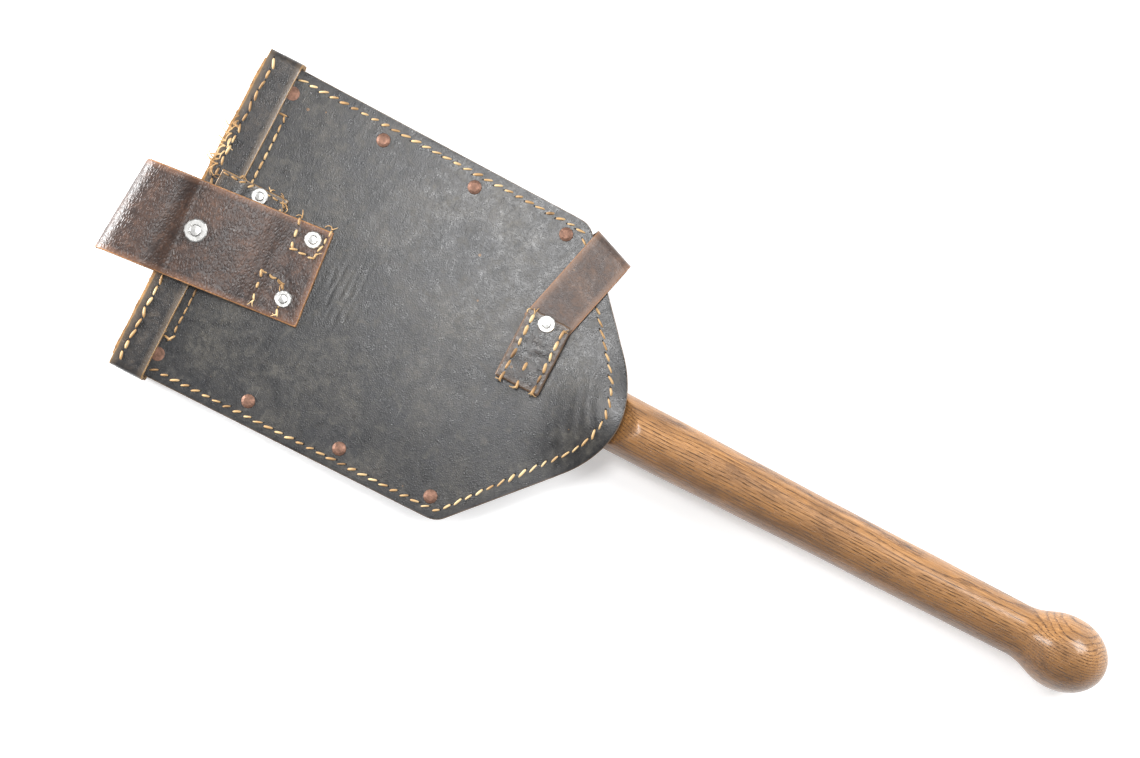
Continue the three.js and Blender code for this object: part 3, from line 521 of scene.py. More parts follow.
end_strip = [(MOUTH_X, -76.7), (-256.2, -76.7), (-256.2, 76.7), (MOUTH_X, 76.7)]
end_welt = cut_leather("end_welt_leather", end_strip, lambda x, y: (x, y, POCKET_HALF), 2 * POCKET_HALF,
                       [undyed, undyed_edge], cell=6)
mouth_strip = [(-255, -76), (-238, -76), (-238, 76), (-255, 76)]
mouth_lining = cut_leather("mouth_lining_leather", mouth_strip, lambda x, y: (x, y, POCKET_HALF),
                           LINING_THICK, [undyed, undyed_edge], cell=6, edge=0.3)
outer = [p for p in half_outline(0.9) if p[0] > -26]
inner = [p for p in half_outline(16) if p[0] > -26]
nose_strip = mirrored(outer) + outer[1:] + inner[::-1] + mirrored(inner)[1:]
nose_lining = cut_leather("nose_lining_leather", nose_strip,
                          lambda x, y: (x, y, POCKET_HALF + dome(x, y)), LINING_THICK,
                          [undyed, undyed_edge], edge=0.3)
for lining, node in ((end_welt, "end_welt"), (mouth_lining, "mouth_lining"), (nose_lining, "nose_lining")):
    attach(lining, "carrier")
    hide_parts(node)

# ---- Front frame ------------------------------------------------------------------------------
# The carrier's front: a U of the same black leather, open towards the nose so that the blade can
# be drawn, with a wide window that shows the blade.
FRAME_INNER = 62
outer = [p for p in half_outline(0.6) if p[0] < -62]
u_shape = [np.array((-62, FRAME_INNER + 3))] + outer + mirrored(outer) + [
    np.array(p) for p in (
        (-62, -FRAME_INNER - 3), (-68, -FRAME_INNER), (-232, -FRAME_INNER),
        (-232, FRAME_INNER), (-68, FRAME_INNER),
    )
]
front = cut_leather(
    "front_frame_leather", u_shape, lambda x, y: (x, y, -PANEL_TOP + 0.1 * wave(x, y, 30, 4.0)), LEATHER,
    [waxed_black, browned_edge], cell=4, face_down=True,
)
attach(front, "carrier")
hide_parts("front_frame")

# ---- Band over the closed end -----------------------------------------------------------------
# A 20 mm strip of black leather laid over the back at the closed end and folded round both sides
# on to the front. Its outer edge was left raw and has come apart in layers.
BAND_THICK = 2.2
BAND_TOP = PANEL_TOP + 0.3 + BAND_THICK
BAND_WIDTH = 20
BAND_SIDE = MOUTH_HALF + 0.3 + BAND_THICK
BAND_REACH = 58
BAND_BEND = 2.6


def path_lay(points):
    """Where a distance along a line of points comes to: a function giving the two coordinates."""
    points = np.array(points, float)
    lengths = np.concatenate(([0], np.cumsum(np.linalg.norm(np.diff(points, axis=0), axis=1))))
    total = lengths[-1]
    return (lambda s: (np.interp(s, lengths, points[:, 0]), np.interp(s, lengths, points[:, 1]))), total


def arc(centre, radius, start, end, steps):
    """Points of an arc, angles in degrees, both ends included."""
    angles = np.radians(np.linspace(start, end, steps + 1))
    return [(centre[0] + radius * math.cos(a), centre[1] + radius * math.sin(a)) for a in angles]


side_z = BAND_TOP - BAND_BEND
side_y = BAND_SIDE - BAND_BEND
band_line = [(-BAND_REACH, -BAND_TOP)]
band_line += arc((-side_y, -side_z), BAND_BEND, 270, 180, 8)
band_line += arc((-side_y, side_z), BAND_BEND, 180, 90, 8)
band_line += arc((side_y, side_z), BAND_BEND, 90, 0, 8)
band_line += arc((side_y, -side_z), BAND_BEND, 0, -90, 8)
band_line += [(BAND_REACH, -BAND_TOP)]
band_place, band_length = path_lay(band_line)


def lay_band(s, x):
    """s round the carrier, x in from the closed end."""
    y, z = band_place(s)
    return MOUTH_X + x + 0.35 * wave(s, x, 22, 7.7) * (1 if x > 10 else 0.4), y, z + 0.1 * wave(s, x, 15, 2.2)


# The same waxed cowhide from a browner part of the hide, more handled: rubbed to brown in clouds of
# 30 mm, with tan showing along its edge. Its grain is drawn coarser than real, as the panel's is.
band_black = leather("band_black_cowhide", "#1f1f21", "#383533", "#65584a", 1.1, 0.00004, 0.22, patch=30,
                     raw="#8d6e47", raw_width=0.45, blotches=0.5)
# Its edge has never been rubbed: pale tan fibres with brown dirt between them.
band_edge = cut_edge("raw_tan_cut_edge", "#a98a5f", "#5c4530")
steps = 90
ragged = []
for i in range(steps + 1):
    ragged.append((band_length * i / steps, 0.5 * abs(wave(i * 3.1, 0, 9, 5.5)) + 0.15 * (i % 2)))
band_outline = ragged + [(band_length, BAND_WIDTH), (0, BAND_WIDTH)]
band = cut_leather("mouth_band_leather", band_outline, lay_band, BAND_THICK, [band_black, band_edge],
                   cell=2.0, edge=0.5, face_down=True)
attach(band, "carrier")
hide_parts("mouth_band")

# The band's hide has split along its outer edge, and the pale lower layer stands out raggedly. Split
# cowhide has no grain side: loose tan fibres, brighter than any other leather here.
split_hide = cut_edge("split_tan_hide", "#b98f5c", "#6b4a2d", fibre=0.5)
SPLIT_HALF = 91
upper_ragged = [(MOUTH_X + 2.5, SPLIT_HALF), (MOUTH_X + 2.5, -SPLIT_HALF)]
lower_ragged = []
for i in range(150):
    y = -SPLIT_HALF + 2 * SPLIT_HALF * i / 149
    reach = 0.5 + 1.1 * abs(wave(y, 0, 17, 3.3)) + 0.5 * abs(wave(y, 0, 1.6, 8.8))
    lower_ragged.append((MOUTH_X - reach, y))


def lay_split(x, y):
    """The split layer lies a little under the band's top, and curls."""
    return x, y, BAND_TOP - 0.75 + 0.35 * wave(x, y, 3, 1.9)


split_layer = cut_leather("band_split_layer", upper_ragged + lower_ragged, lay_split, 0.9, [split_hide],
                          cell=1.2, edge=0.25)
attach(split_layer, "carrier")

# ---- Belt loop --------------------------------------------------------------------------------
# A 56 mm strap of brown pebbled cowhide. One end is sewn to the panel, it runs out over the
# closed end, folds back on itself for the belt, and one big rivet closes the fold.
LOOP_THICK = 2.6
LOOP_WIDTH = 56
LOOP_START = (-184, -4.9)
LOOP_SKEW = math.radians(5.4)
LEG_Z = 12.0                    # middle of the lower leg
PINCH_Z = 14.9                  # middle of the upper leg, where the big rivet holds it down
FOLD_TOP = 22.2
FOLD_END = 112.2
LOOP_FRAME = CARRIER @ Matrix.Translation((*LOOP_START, 0)) @ Matrix.Rotation(math.pi + LOOP_SKEW, 4, "Z")


def outside(points, distance):
    """The line moved sideways to its left by a distance."""
    points = np.array(points, float)
    run = np.gradient(points, axis=0)
    run /= np.linalg.norm(run, axis=1)[:, None]
    return points + distance * np.stack((-run[:, 1], run[:, 0]), axis=1)


loop_middle = [(0, 7.4), (4, 7.4), (9, 7.4), (14, 7.4), (19, 7.4)]
loop_middle += bezier((19, 7.4), (26, 7.5), (31, 11.2), (42, 12.4), 14)
loop_middle += bezier((42, 12.4), (52, 13.6), (58, PINCH_Z), (66, PINCH_Z), 10)
loop_middle += bezier((66, PINCH_Z), (72, PINCH_Z), (75, PINCH_Z), (77.5, 15.0), 5)
loop_middle += bezier((77.5, 15.0), (81, 15.2), (82, FOLD_TOP), (93, FOLD_TOP), 14)
loop_middle += bezier((93, FOLD_TOP), (101, FOLD_TOP), (FOLD_END, 22.0), (FOLD_END, 17.1), 16)
loop_middle += bezier((FOLD_END, 17.1), (FOLD_END, LEG_Z), (104, LEG_Z), (97, LEG_Z), 14)
loop_middle += bezier((97, LEG_Z), (85, LEG_Z), (75, LEG_Z), (62, LEG_Z), 8)
loop_place, loop_length = path_lay(outside(loop_middle, LOOP_THICK / 2))
LOOP_TWIST = 4.6                # the fold sits askew: one side reaches farther out than the other


def lay_loop(s, y):
    """s along the strap from its sewn end, y across it; it wrinkles between its two sewn corners."""
    x, z = loop_place(s)
    creased = math.exp(-((s - 31) / 6.5) ** 2) if s < 60 else 0
    ripple = 0.6 * creased * noise.noise(Vector((s / 2.4, y / 14, 3.1)))
    near_seams = math.exp(-((s - 12) / 9) ** 2) if s < 60 else 0
    ripple += 0.5 * near_seams * noise.noise(Vector((s / 5, y / 2.6 + s / 12, 7.3)))
    twist = min(max((x - 72) / 34, 0), 1) * y / 28 * LOOP_TWIST
    return x + twist + 0.2 * wave(s, y, 9, 9.1), y, z + ripple + 0.2 * wave(s, y, 17, 6.6)


# Full-grain cowhide boarded by hand, which raises its grain: brown pebbles, drawn out across the
# strap, with painted shade darkening the valleys near-black and rusty tops where it has rubbed. Real
# pebbles are about 0.8 mm wide, and they are drawn up to 1.5 mm, because finer ones would not show.
brown_pebbled = leather("pebbled_brown_cowhide", "#2b1b15", "#503729", "#7d5842", 1.5, 0.0001, 0.3,
                        stretch=1.7, patch=24, raw="#a9764a", raw_width=0.6, wrinkle=0.00002, scuffs=0.3,
                        blotches=0.35)
# The loop's edge, cut and only lightly rubbed: tan, with brown streaks.
loop_edge = cut_edge("loop_cut_edge", "#9a7550", "#553c2a")
LOOP_HALF = LOOP_WIDTH / 2
loop_outline = [(0, -LOOP_HALF), (loop_length, -LOOP_HALF), (loop_length, LOOP_HALF), (0, LOOP_HALF)]
loop = cut_leather("belt_loop_leather", loop_outline, lay_loop, LOOP_THICK, [brown_pebbled, loop_edge],
                   cell=1.7, edge=0.7, matrix=LOOP_FRAME)
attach(loop, "carrier")
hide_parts("belt_loop")

# ---- Tab under the belt loop --------------------------------------------------------------------
# A thin black patch of the band's leather under the loop. It steps up over the edge of the band, and
# it is sewn along two sides and held by a rivet.
TAB_THICK = 1.8
tab_middle = [(-217, 7.9), (-222, 7.9), (-230, 7.9), (-236, 7.95), (-240, 9.0), (-243.5, 10.3)]
tab_middle += [(-248, 10.4), (-257, 10.4)]
tab_place, tab_length = path_lay(tab_middle)


def lay_tab(s, y):
    """s towards the closed end, y across the carrier."""
    x, z = tab_place(s)
    return x, y, z + 0.15 * wave(s, y, 8, 8.2)


tab_outline = [(0, -34), (tab_length, -33), (tab_length, 26.2), (0, 27.2)]
tab = cut_leather("loop_tab_leather", tab_outline, lay_tab, TAB_THICK, [band_black, browned_edge],
                  cell=2, edge=0.5, face_down=True)
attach(tab, "carrier")
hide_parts("loop_tab")

# ---- Closing strap ------------------------------------------------------------------------------
# A 26 mm strap of brown latigo, sewn and riveted to the panel near the nose. It runs to the
# shoulder, folds sharply round the carrier's edge, and its loose end lies under the front.
STRAP_THICK = 2.5
STRAP_HALF = 13
BEFORE_RIVET = 4                # how far the strap starts before its rivet
STRAP_TOP = PANEL_TOP + 0.3 + STRAP_THICK
STRAP_ANGLE = math.radians(75.5)
RIVET_AT = np.array((-60.0, 32.0))
FOLD_AT = np.array((-46.2, 85.5))     # outermost middle of the fold
FOLD_ANGLE = math.radians(69)
TAIL_LENGTH = 146
fold_out = np.array((math.cos(FOLD_ANGLE), math.sin(FOLD_ANGLE)))
fold_along = np.array((-fold_out[1], fold_out[0]))
strap_run = np.array((math.cos(STRAP_ANGLE), math.sin(STRAP_ANGLE)))
strap_side = np.array((-strap_run[1], strap_run[0]))
FRONT_LOW = -PANEL_TOP - 0.7 - STRAP_THICK     # outer face of the strap under the front
lean = math.asin(carrier_x.z)


def table_height(x):
    """The table's top, in the carrier's frame."""
    return -(nose.z * 1000 + x * math.sin(lean)) / math.cos(lean)


# Outer face of the strap across the fold: over the edge, down, back under, then down to the table.
LINE_TO_FOLD = 120
fold_line = [(-LINE_TO_FOLD, STRAP_TOP), (-60, STRAP_TOP), (-20, STRAP_TOP), (-9, STRAP_TOP)]
fold_line += arc((-3.9, STRAP_TOP - 3.9), 3.9, 90, 0, 8)
fold_line += arc((-3.9, FRONT_LOW + 3.9), 3.9, 0, -90, 8)
fold_line += [(-9, FRONT_LOW)]
resting = table_height(FOLD_AT[0] - 50) + 0.9
fold_line += bezier((-9, FRONT_LOW), (-36, FRONT_LOW - 0.5), (-48, resting), (-86, resting + 0.4), 16)
fold_line += [(-160, table_height(FOLD_AT[0] - 62) + 1.2)]
fold_place, _ = path_lay([(p[0], p[1]) for p in fold_line])


def lay_strap(u, v):
    """u along the strap from the rivet, v across it."""
    flat_place = RIVET_AT + u * strap_run + v * strap_side - FOLD_AT
    out, along = flat_place @ fold_out, flat_place @ fold_along
    x, z = fold_place(LINE_TO_FOLD + out)
    place = FOLD_AT + x * fold_out + along * fold_along
    return place[0], place[1], z + 0.1 * wave(u, v, 13, 5.1)


fold_distance = float((FOLD_AT - RIVET_AT) @ strap_run)
round_the_edge = 16             # what the fold takes up beyond the flat run
strap_length = fold_distance + round_the_edge + TAIL_LENGTH - BEFORE_RIVET
tip = [(strap_length - 14, -STRAP_HALF), (strap_length - 5, -10.2), (strap_length - 1, -5), (strap_length, 0),
       (strap_length - 1, 5), (strap_length - 5, 10.2), (strap_length - 14, STRAP_HALF)]
strap_outline = [(-BEFORE_RIVET, -STRAP_HALF), *tip, (-BEFORE_RIVET, STRAP_HALF)]
# Latigo, which is cowhide stuffed with oil and wax: brown, smooth and dull, darker in stains 18 mm
# across, with a very shallow grain. Its 0.5 mm cells are drawn up to 1 mm wide, to show.
brown_latigo = leather("brown_latigo", "#3f2c23", "#604839", "#846550", 1.0, 0.00004, 0.32, patch=18,
                       raw="#8a6244", wrinkle=0.00004, scuffs=0.4, blotches=0.3)
# Its edge takes up the oil and goes nearly as dark as its face.
strap_edge = cut_edge("latigo_cut_edge", "#6b4f3b", "#3a2a20")
HOLE_RADIUS = 2
buckle_holes = []
for from_tip in (28, 40, 52, 64, 76):
    buckle_holes.append(arc((strap_length - from_tip, 0), HOLE_RADIUS, 0, 360, 16)[:-1])


def crossing(v, out):
    """How far along the strap its side v crosses the line `out` millimetres from the fold."""
    return (out - (RIVET_AT + v * strap_side - FOLD_AT) @ fold_out) / (strap_run @ fold_out)


# The strap is made in two lengths that meet past the hinge line: the run bends, the loose end
# swings as it lies.
JOIN_OUT = -2.5
join_low = (crossing(-STRAP_HALF, JOIN_OUT), -STRAP_HALF)
join_high = (crossing(STRAP_HALF, JOIN_OUT), STRAP_HALF)
run_outline = [(-BEFORE_RIVET, -STRAP_HALF), join_low, join_high, (-BEFORE_RIVET, STRAP_HALF)]
strap = cut_leather("closing_strap_run", run_outline, lay_strap, STRAP_THICK,
                    [brown_latigo, strap_edge], cell=1.6, edge=0.3, rim_of=strap_outline)
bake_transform(strap)
loose_end = cut_leather("closing_strap_loose_end", [join_low, *tip, join_high], lay_strap, STRAP_THICK,
                        [brown_latigo, strap_edge], cell=1.6, edge=0.3, holes=buckle_holes,
                        rim_of=strap_outline)
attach(loose_end, "strap_tail")
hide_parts("strap_tail")

# ---- Sewn end of the closing strap, and its pad -------------------------------------------------
# The strap's end turns square to the carrier and is sewn down. A pad of thin black leather covers it,
# held by the same stitches and by one rivet, and it has creased across where the strap pulls on it.
sewn_outline = [(-73, -5), (-46.6, -5), (-46.6, 34), (-73, 34)]
sewn = cut_leather("closing_strap_end", sewn_outline, lambda x, y: (x, y, STRAP_TOP), STRAP_THICK,
                   [brown_latigo, strap_edge], cell=2, edge=0.7)
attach(sewn, "carrier")
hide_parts("closing_strap")

PAD_THICK = 1.8
PAD_TOP = STRAP_TOP + 0.3 + PAD_THICK


def lay_pad(x, y):
    """The pad's grain side, with its creases."""
    crease = math.exp(-((y - 33.5) / 2.2) ** 2) + 0.7 * math.exp(-((y - 14) / 9) ** 2)
    ridge = 0.5 * crease * noise.noise(Vector((x / 4.0 + y / 9, y / 2.0, 1.0)))
    return x, y, PAD_TOP + ridge + 0.12 * wave(x, y, 7, 3.8)


pad_outline = [(-72.6, -5.2), (-46.4, -5.2), (-46.4, 36), (-72.6, 36)]
# Thin waxed cowhide, worn hard: near-black and glossy in patches of 12 mm, brown where it has
# rubbed, with deep fine creases. Its grain is drawn coarser than real, as the panel's is.
pad_black = leather("pad_black_cowhide", "#141416", "#2c2724", "#5b4838", 1.0, 0.00003, 0.2, patch=12,
                    raw="#5f4632", raw_width=0.6, wrinkle=0.00008, blotches=0.5)
pad = cut_leather("strap_pad_leather", pad_outline, lay_pad, PAD_THICK, [pad_black, browned_edge],
                  cell=1.3, edge=0.7)
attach(pad, "carrier")
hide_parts("strap_pad")

# ---- Stitching ----------------------------------------------------------------------------------
# Waxed linen thread, sewn by hand with an awl: fat slanting stitches that dive into holes, drawn as dark
# blobs of painted shade.
# The seams hold the two sides, the linings, the band, the loop, its tab and the pad.

# Linen twisted from several strands and drawn through beeswax: straw-coloured, dull, dirty brown in
# stretches of about 22 mm. The strands are 0.3 mm wide, and they are drawn at 1.1 mm, to show.
tan_thread, tree = new_material("waxed_linen_thread")
coordinates = add(tree, "ShaderNodeTexCoord").outputs["Object"]
strands = add(tree, "ShaderNodeTexNoise", {"Scale": 1000 / 1.1, "Detail": 4}, {"Vector": coordinates})
dirt = add(tree, "ShaderNodeTexNoise", {"Scale": 1000 / 22, "Detail": 3}, {"Vector": coordinates})
tone = add(tree, "ShaderNodeValToRGB", {"stops": [(0.32, "#6f5131"), (0.46, "#b48e5f"), (0.66, "#e2c796")]},
           {"Fac": dirt.outputs["Fac"]})
bump = add(tree, "ShaderNodeBump", {"Strength": 0.6, "Distance": 0.0002}, {"Height": strands.outputs["Fac"]})
wax = add(tree, "ShaderNodeBsdfPrincipled", {"Roughness": 0.6},
          {"Base Color": tone.outputs["Color"], "Normal": bump.outputs["Normal"]})
add(tree, "ShaderNodeOutputMaterial", None, {"Surface": wax.outputs["BSDF"]})

# Painted shade for the hole an awl leaves: almost black, with 2 mm mottling that barely shows.
hole_dark, tree = new_material("awl_hole_shadow")
coordinates = add(tree, "ShaderNodeTexCoord").outputs["Object"]
grime = add(tree, "ShaderNodeTexNoise", {"Scale": 1000 / 2}, {"Vector": coordinates})
tone = add(tree, "ShaderNodeValToRGB", {"stops": [(0.3, "#16130f"), (0.7, "#2a231c")]},
           {"Fac": grime.outputs["Fac"]})
pit = add(tree, "ShaderNodeBsdfPrincipled", {"Roughness": 0.9}, {"Base Color": tone.outputs["Color"]})
add(tree, "ShaderNodeOutputMaterial", None, {"Surface": pit.outputs["BSDF"]})


def stitch_tree():
    """Lays stitches along the edges of a mesh: one every Pitch, all turned by Slant."""
    tree = bpy.data.node_groups.new("hand_stitching", "GeometryNodeTree")
    tree.interface.new_socket("Geometry", in_out="INPUT", socket_type="NodeSocketGeometry")
    for name, value in (("Pitch", 6.5), ("Length", 5.0), ("Thread", 1.0), ("Slant", 0.3), ("Wander", 0.15)):
        tree.interface.new_socket(name, in_out="INPUT", socket_type="NodeSocketFloat").default_value = value
    tree.interface.new_socket("Seed", in_out="INPUT", socket_type="NodeSocketInt").default_value = 1
    tree.interface.new_socket("Geometry", in_out="OUTPUT", socket_type="NodeSocketGeometry")
    inputs = add(tree, "NodeGroupInput").outputs
    seam = add(tree, "GeometryNodeMeshToCurve", None, {"Mesh": inputs["Geometry"]})
    marks = add(tree, "GeometryNodeResampleCurve", {"mode": "LENGTH"},
                {"Curve": seam.outputs["Curve"], "Length": inputs["Pitch"]})
    # One stitch: a bent thread, thin at its ends, with a flat dark blob of painted shade for the awl's hole
    # at one end.
    half_length = add(tree, "ShaderNodeMath", {"operation": "MULTIPLY", 1: 0.5}, {0: inputs["Length"]})
    back = add(tree, "ShaderNodeMath", {"operation": "MULTIPLY", 1: -1.0}, {0: half_length.outputs["Value"]})
    start = add(tree, "ShaderNodeCombineXYZ", {"Z": -0.25}, {"X": back.outputs["Value"]})
    middle = add(tree, "ShaderNodeCombineXYZ", None, {"Z": inputs["Thread"]})
    end = add(tree, "ShaderNodeCombineXYZ", {"Z": -0.25}, {"X": half_length.outputs["Value"]})
    spine = add(tree, "GeometryNodeCurveQuadraticBezier", {"Resolution": 8},
                {"Start": start.outputs["Vector"], "Middle": middle.outputs["Vector"],
                 "End": end.outputs["Vector"]})
    share = add(tree, "GeometryNodeSplineParameter")
    fat = add(tree, "ShaderNodeFloatCurve", None, {"Value": share.outputs["Factor"]})
    points = fat.mapping.curves[0].points
    points[0].location = (0, 0.45)
    points[1].location = (1, 0.45)
    points.new(0.25, 0.95)
    points.new(0.75, 0.95)
    fat.mapping.update()
    tapered = add(tree, "GeometryNodeSetCurveRadius", None,
                  {"Curve": spine.outputs["Curve"], "Radius": fat.outputs["Value"]})
    thread_radius = add(tree, "ShaderNodeMath", {"operation": "MULTIPLY", 1: 0.5}, {0: inputs["Thread"]})
    section = add(tree, "GeometryNodeCurvePrimitiveCircle", {"Resolution": 8},
                  {"Radius": thread_radius.outputs["Value"]})
    thread = add(tree, "GeometryNodeCurveToMesh", {"Fill Caps": True},
                 {"Curve": tapered.outputs["Curve"], "Profile Curve": section.outputs["Curve"]})
    if "Scale" in thread.inputs:
        tree.links.new(fat.outputs["Value"], thread.inputs["Scale"])
    ball = add(tree, "GeometryNodeMeshUVSphere", {"Segments": 8, "Rings": 5, "Radius": 0.62})
    half_pitch = add(tree, "ShaderNodeMath", {"operation": "MULTIPLY", 1: 0.5}, {0: inputs["Pitch"]})
    hole_at = add(tree, "ShaderNodeCombineXYZ", {"Z": -0.08}, {"X": half_pitch.outputs["Value"]})
    hole = add(tree, "GeometryNodeTransform", {"Scale": (1.25, 0.85, 0.28)},
               {"Geometry": ball.outputs["Mesh"], "Translation": hole_at.outputs["Vector"]})
    marked = add(tree, "GeometryNodeStoreNamedAttribute",
                 {"data_type": "BOOLEAN", "domain": "FACE", "Name": "awl_hole", "Value": True},
                 {"Geometry": hole.outputs["Geometry"]})
    stitch = add(tree, "GeometryNodeJoinGeometry")
    tree.links.new(thread.outputs["Mesh"], stitch.inputs[0])
    tree.links.new(marked.outputs["Geometry"], stitch.inputs[0])
    # Each stitch is turned along the seam, then by the slant and a little at random.
    run = add(tree, "GeometryNodeInputTangent")
    aimed = add(tree, "FunctionNodeAlignRotationToVector", {"axis": "X"}, {"Vector": run.outputs["Tangent"]})
    least = add(tree, "ShaderNodeMath", {"operation": "SUBTRACT"}, {0: inputs["Slant"], 1: inputs["Wander"]})
    most = add(tree, "ShaderNodeMath", {"operation": "ADD"}, {0: inputs["Slant"], 1: inputs["Wander"]})
    turn = add(tree, "FunctionNodeRandomValue", {"data_type": "FLOAT"},
               {2: least.outputs["Value"], 3: most.outputs["Value"], "Seed": inputs["Seed"]})
    twist = add(tree, "ShaderNodeCombineXYZ", None, {"Z": turn.outputs[1]})
    as_rotation = add(tree, "FunctionNodeEulerToRotation", None, {"Euler": twist.outputs["Vector"]})
    turned = add(tree, "FunctionNodeRotateRotation", {"rotation_space": "LOCAL"},
                 {"Rotation": aimed.outputs["Rotation"], "Rotate By": as_rotation.outputs["Rotation"]})
    size = add(tree, "FunctionNodeRandomValue",
               {"data_type": "FLOAT_VECTOR", 0: (0.72, 0.8, 0.75), 1: (1.05, 1.2, 1.25)},
               {"Seed": inputs["Seed"]})
    placed = add(tree, "GeometryNodeInstanceOnPoints", None,
                 {"Points": marks.outputs["Curve"], "Instance": stitch.outputs["Geometry"],
                  "Rotation": turned.outputs["Rotation"], "Scale": size.outputs[0]})
    real = add(tree, "GeometryNodeRealizeInstances", None, {"Geometry": placed.outputs["Instances"]})
    threaded = add(tree, "GeometryNodeSetMaterial", {"Material": tan_thread},
                   {"Geometry": real.outputs["Geometry"]})
    is_hole = add(tree, "GeometryNodeInputNamedAttribute", {"data_type": "BOOLEAN", "Name": "awl_hole"})
    holed = add(tree, "GeometryNodeSetMaterial", {"Material": hole_dark},
                {"Geometry": threaded.outputs["Geometry"], "Selection": is_hole.outputs["Attribute"]})
    result = add(tree, "NodeGroupOutput")
    tree.links.new(holed.outputs["Geometry"], result.inputs["Geometry"])
    return tree


stitching = stitch_tree()


def sew(name, lines, body, pitch=6.5, length=5.0, thread=1.1, slant=0.3, wander=0.15, seed=1, matrix=CARRIER):
    """Thread sewn along lines of (x, y, z) points, one mesh for all of them."""
    mesh = bpy.data.meshes.new(name)
    vertices, edges = [], []
    for line in lines:
        first = len(vertices)
        vertices += [tuple(p) for p in line]
        edges += [(first + i, first + i + 1) for i in range(len(line) - 1)]
    mesh.from_pydata(vertices, edges, [])
    made = link(name, mesh, [])
    modifier = made.modifiers.new("stitches", "NODES")
    modifier.node_group = stitching
    values = {"Pitch": pitch, "Length": length, "Thread": thread, "Slant": slant, "Wander": wander,
              "Seed": seed}
    for socket in stitching.interface.items_tree:
        if socket.item_type == "SOCKET" and socket.in_out == "INPUT" and socket.name in values:
            modifier[socket.identifier] = values[socket.name]
    plain_mesh(made)
    made.data.polygons.foreach_set("use_smooth", [True] * len(made.data.polygons))
    made.data.transform(matrix)
    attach(made, body)
    return made


def on_panel(points, lift=0.1):
    """Points in the carrier's plan, lifted on to the back panel."""
    return [(p[0], p[1], PANEL_TOP + dome(p[0], p[1]) + lift) for p in points]


# The seam round the carrier, 5 mm inside the edge, farther in round the nose.
seam = [p for p in half_outline(5.2, 9.0) if p[0] > -243]
sew("perimeter_stitches", [on_panel(mirrored(seam) + seam[1:])], "carrier", pitch=6.4, length=5.5,
    thread=1.3, slant=0.32, wander=0.18, seed=3)
# The seam of the lining at the closed end, which hooks towards the edge at both ends.
inner_seam = [(-246.5, 64), (-240.5, 69), (-240, 50), (-240, 20), (-240, -20), (-240, -45), (-240, -72)]
inner_seam += [(-246, -66)]
sew("inner_stitches", [on_panel(inner_seam)], "carrier", pitch=5.6, length=5.0,
    thread=1.2, slant=0.05, wander=0.08, seed=5)
# The band's outer seam.
band_seam = [(MOUTH_X + 5 + 0.6 * wave(y, 0, 25, 2.0), y, BAND_TOP + 0.1) for y in range(-90, 91, 6)]
sew("band_stitches", [band_seam], "carrier", pitch=6.6, length=5.6, thread=1.5,
    slant=0.12, wander=0.3, seed=7)


def on_loop(points, lift=0.1):
    """Points in the carrier's plan, lifted on to the belt loop's sewn end."""
    back = LOOP_FRAME.inverted() @ CARRIER
    placed = []
    for p in points:
        local = back @ Vector((p[0], p[1], 0))
        x, _, z = lay_loop(local.x, local.y)
        placed.append((p[0], p[1], z + lift))
    return placed


box_a = [(-206.8, 21.5), (-203.5, 4.8), (-190.1, 5.0), (-187.8, 23.5)]
box_b = [(-193.7, -31.9), (-198.6, -14.2), (-212, -13.1), (-208.9, -29.9)]
box_sides = []
for box in (box_a, box_b):
    for start, end in zip(box, box[1:]):
        inwards = (np.array(end) - np.array(start)) * 0.1
        box_sides.append(on_loop([np.array(start) + inwards, np.array(end) - inwards]))
sew("loop_stitches", box_sides, "carrier", pitch=4.7, length=4.4, thread=1.3, slant=0.05, wander=0.3, seed=11)
tab_seam = [(-218.8, y, 8.05) for y in (24, 8, -8)]
tab_end_seam = [(-254, 24.5, 10.5), (-244, 24.6, 10.4), (-232, 24.6, 8.1), (-219, 24.5, 8.1)]
sew("tab_stitches", [tab_seam, tab_end_seam], "carrier", pitch=4.6, length=4.4, thread=1.2, wander=0.5,
    seed=13)
pad_left = [(-68.5, 31, PAD_TOP), (-68.7, -4.0, PAD_TOP)]
pad_right = [(-50, 30.6, PAD_TOP), (-49.8, -3.2, PAD_TOP)]
pad_middle = [(-59.9, 6.2, PAD_TOP), (-59.1, -4.4, PAD_TOP)]
sew("pad_stitches", [pad_left, pad_right, pad_middle], "carrier", pitch=6.6, length=5.6, thread=1.7,
    slant=0.06, wander=0.2, seed=17)

# ---- Loose thread ends --------------------------------------------------------------------------
# Ends of the same linen thread, untwisted and bent, where the stitching has worn through at the
# corners of the pad and the loop and along the band.
def tufts(name, places, body, length=4.0, count=2, thick=0.36, seed=1):
    """Short bent fibres at places given as (x, y, z, direction in degrees)."""
    chance = np.random.default_rng(seed)
    strands = bpy.data.curves.new(name, "CURVE")
    strands.dimensions = "3D"
    strands.bevel_depth = thick
    strands.bevel_resolution = 1
    strands.use_fill_caps = True
    for x, y, z, direction in places:
        for _ in range(count):
            angle = math.radians(direction + chance.normal(0, 22))
            bend = chance.normal(0, 0.5)
            reach = length * chance.uniform(0.5, 1.2)
            spline = strands.splines.new("POLY")
            spline.points.add(5)
            for i in range(6):
                share = i / 5
                turn = angle + bend * share * 2
                spline.points[i].co = (
                    x + reach * share * math.cos(turn), y + reach * share * math.sin(turn),
                    z + 0.9 * math.sin(share * 2.6) * chance.uniform(0.7, 1.1), 1,
                )
                spline.points[i].radius = 1 - 0.5 * share
    made = bpy.data.objects.new(name, strands)
    scene.collection.objects.link(made)
    graph = bpy.context.evaluated_depsgraph_get()
    mesh = bpy.data.meshes.new_from_object(made.evaluated_get(graph), depsgraph=graph)
    bpy.data.objects.remove(made)
    mesh.materials.clear()
    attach(link(name, mesh, [tan_thread], CARRIER), body)


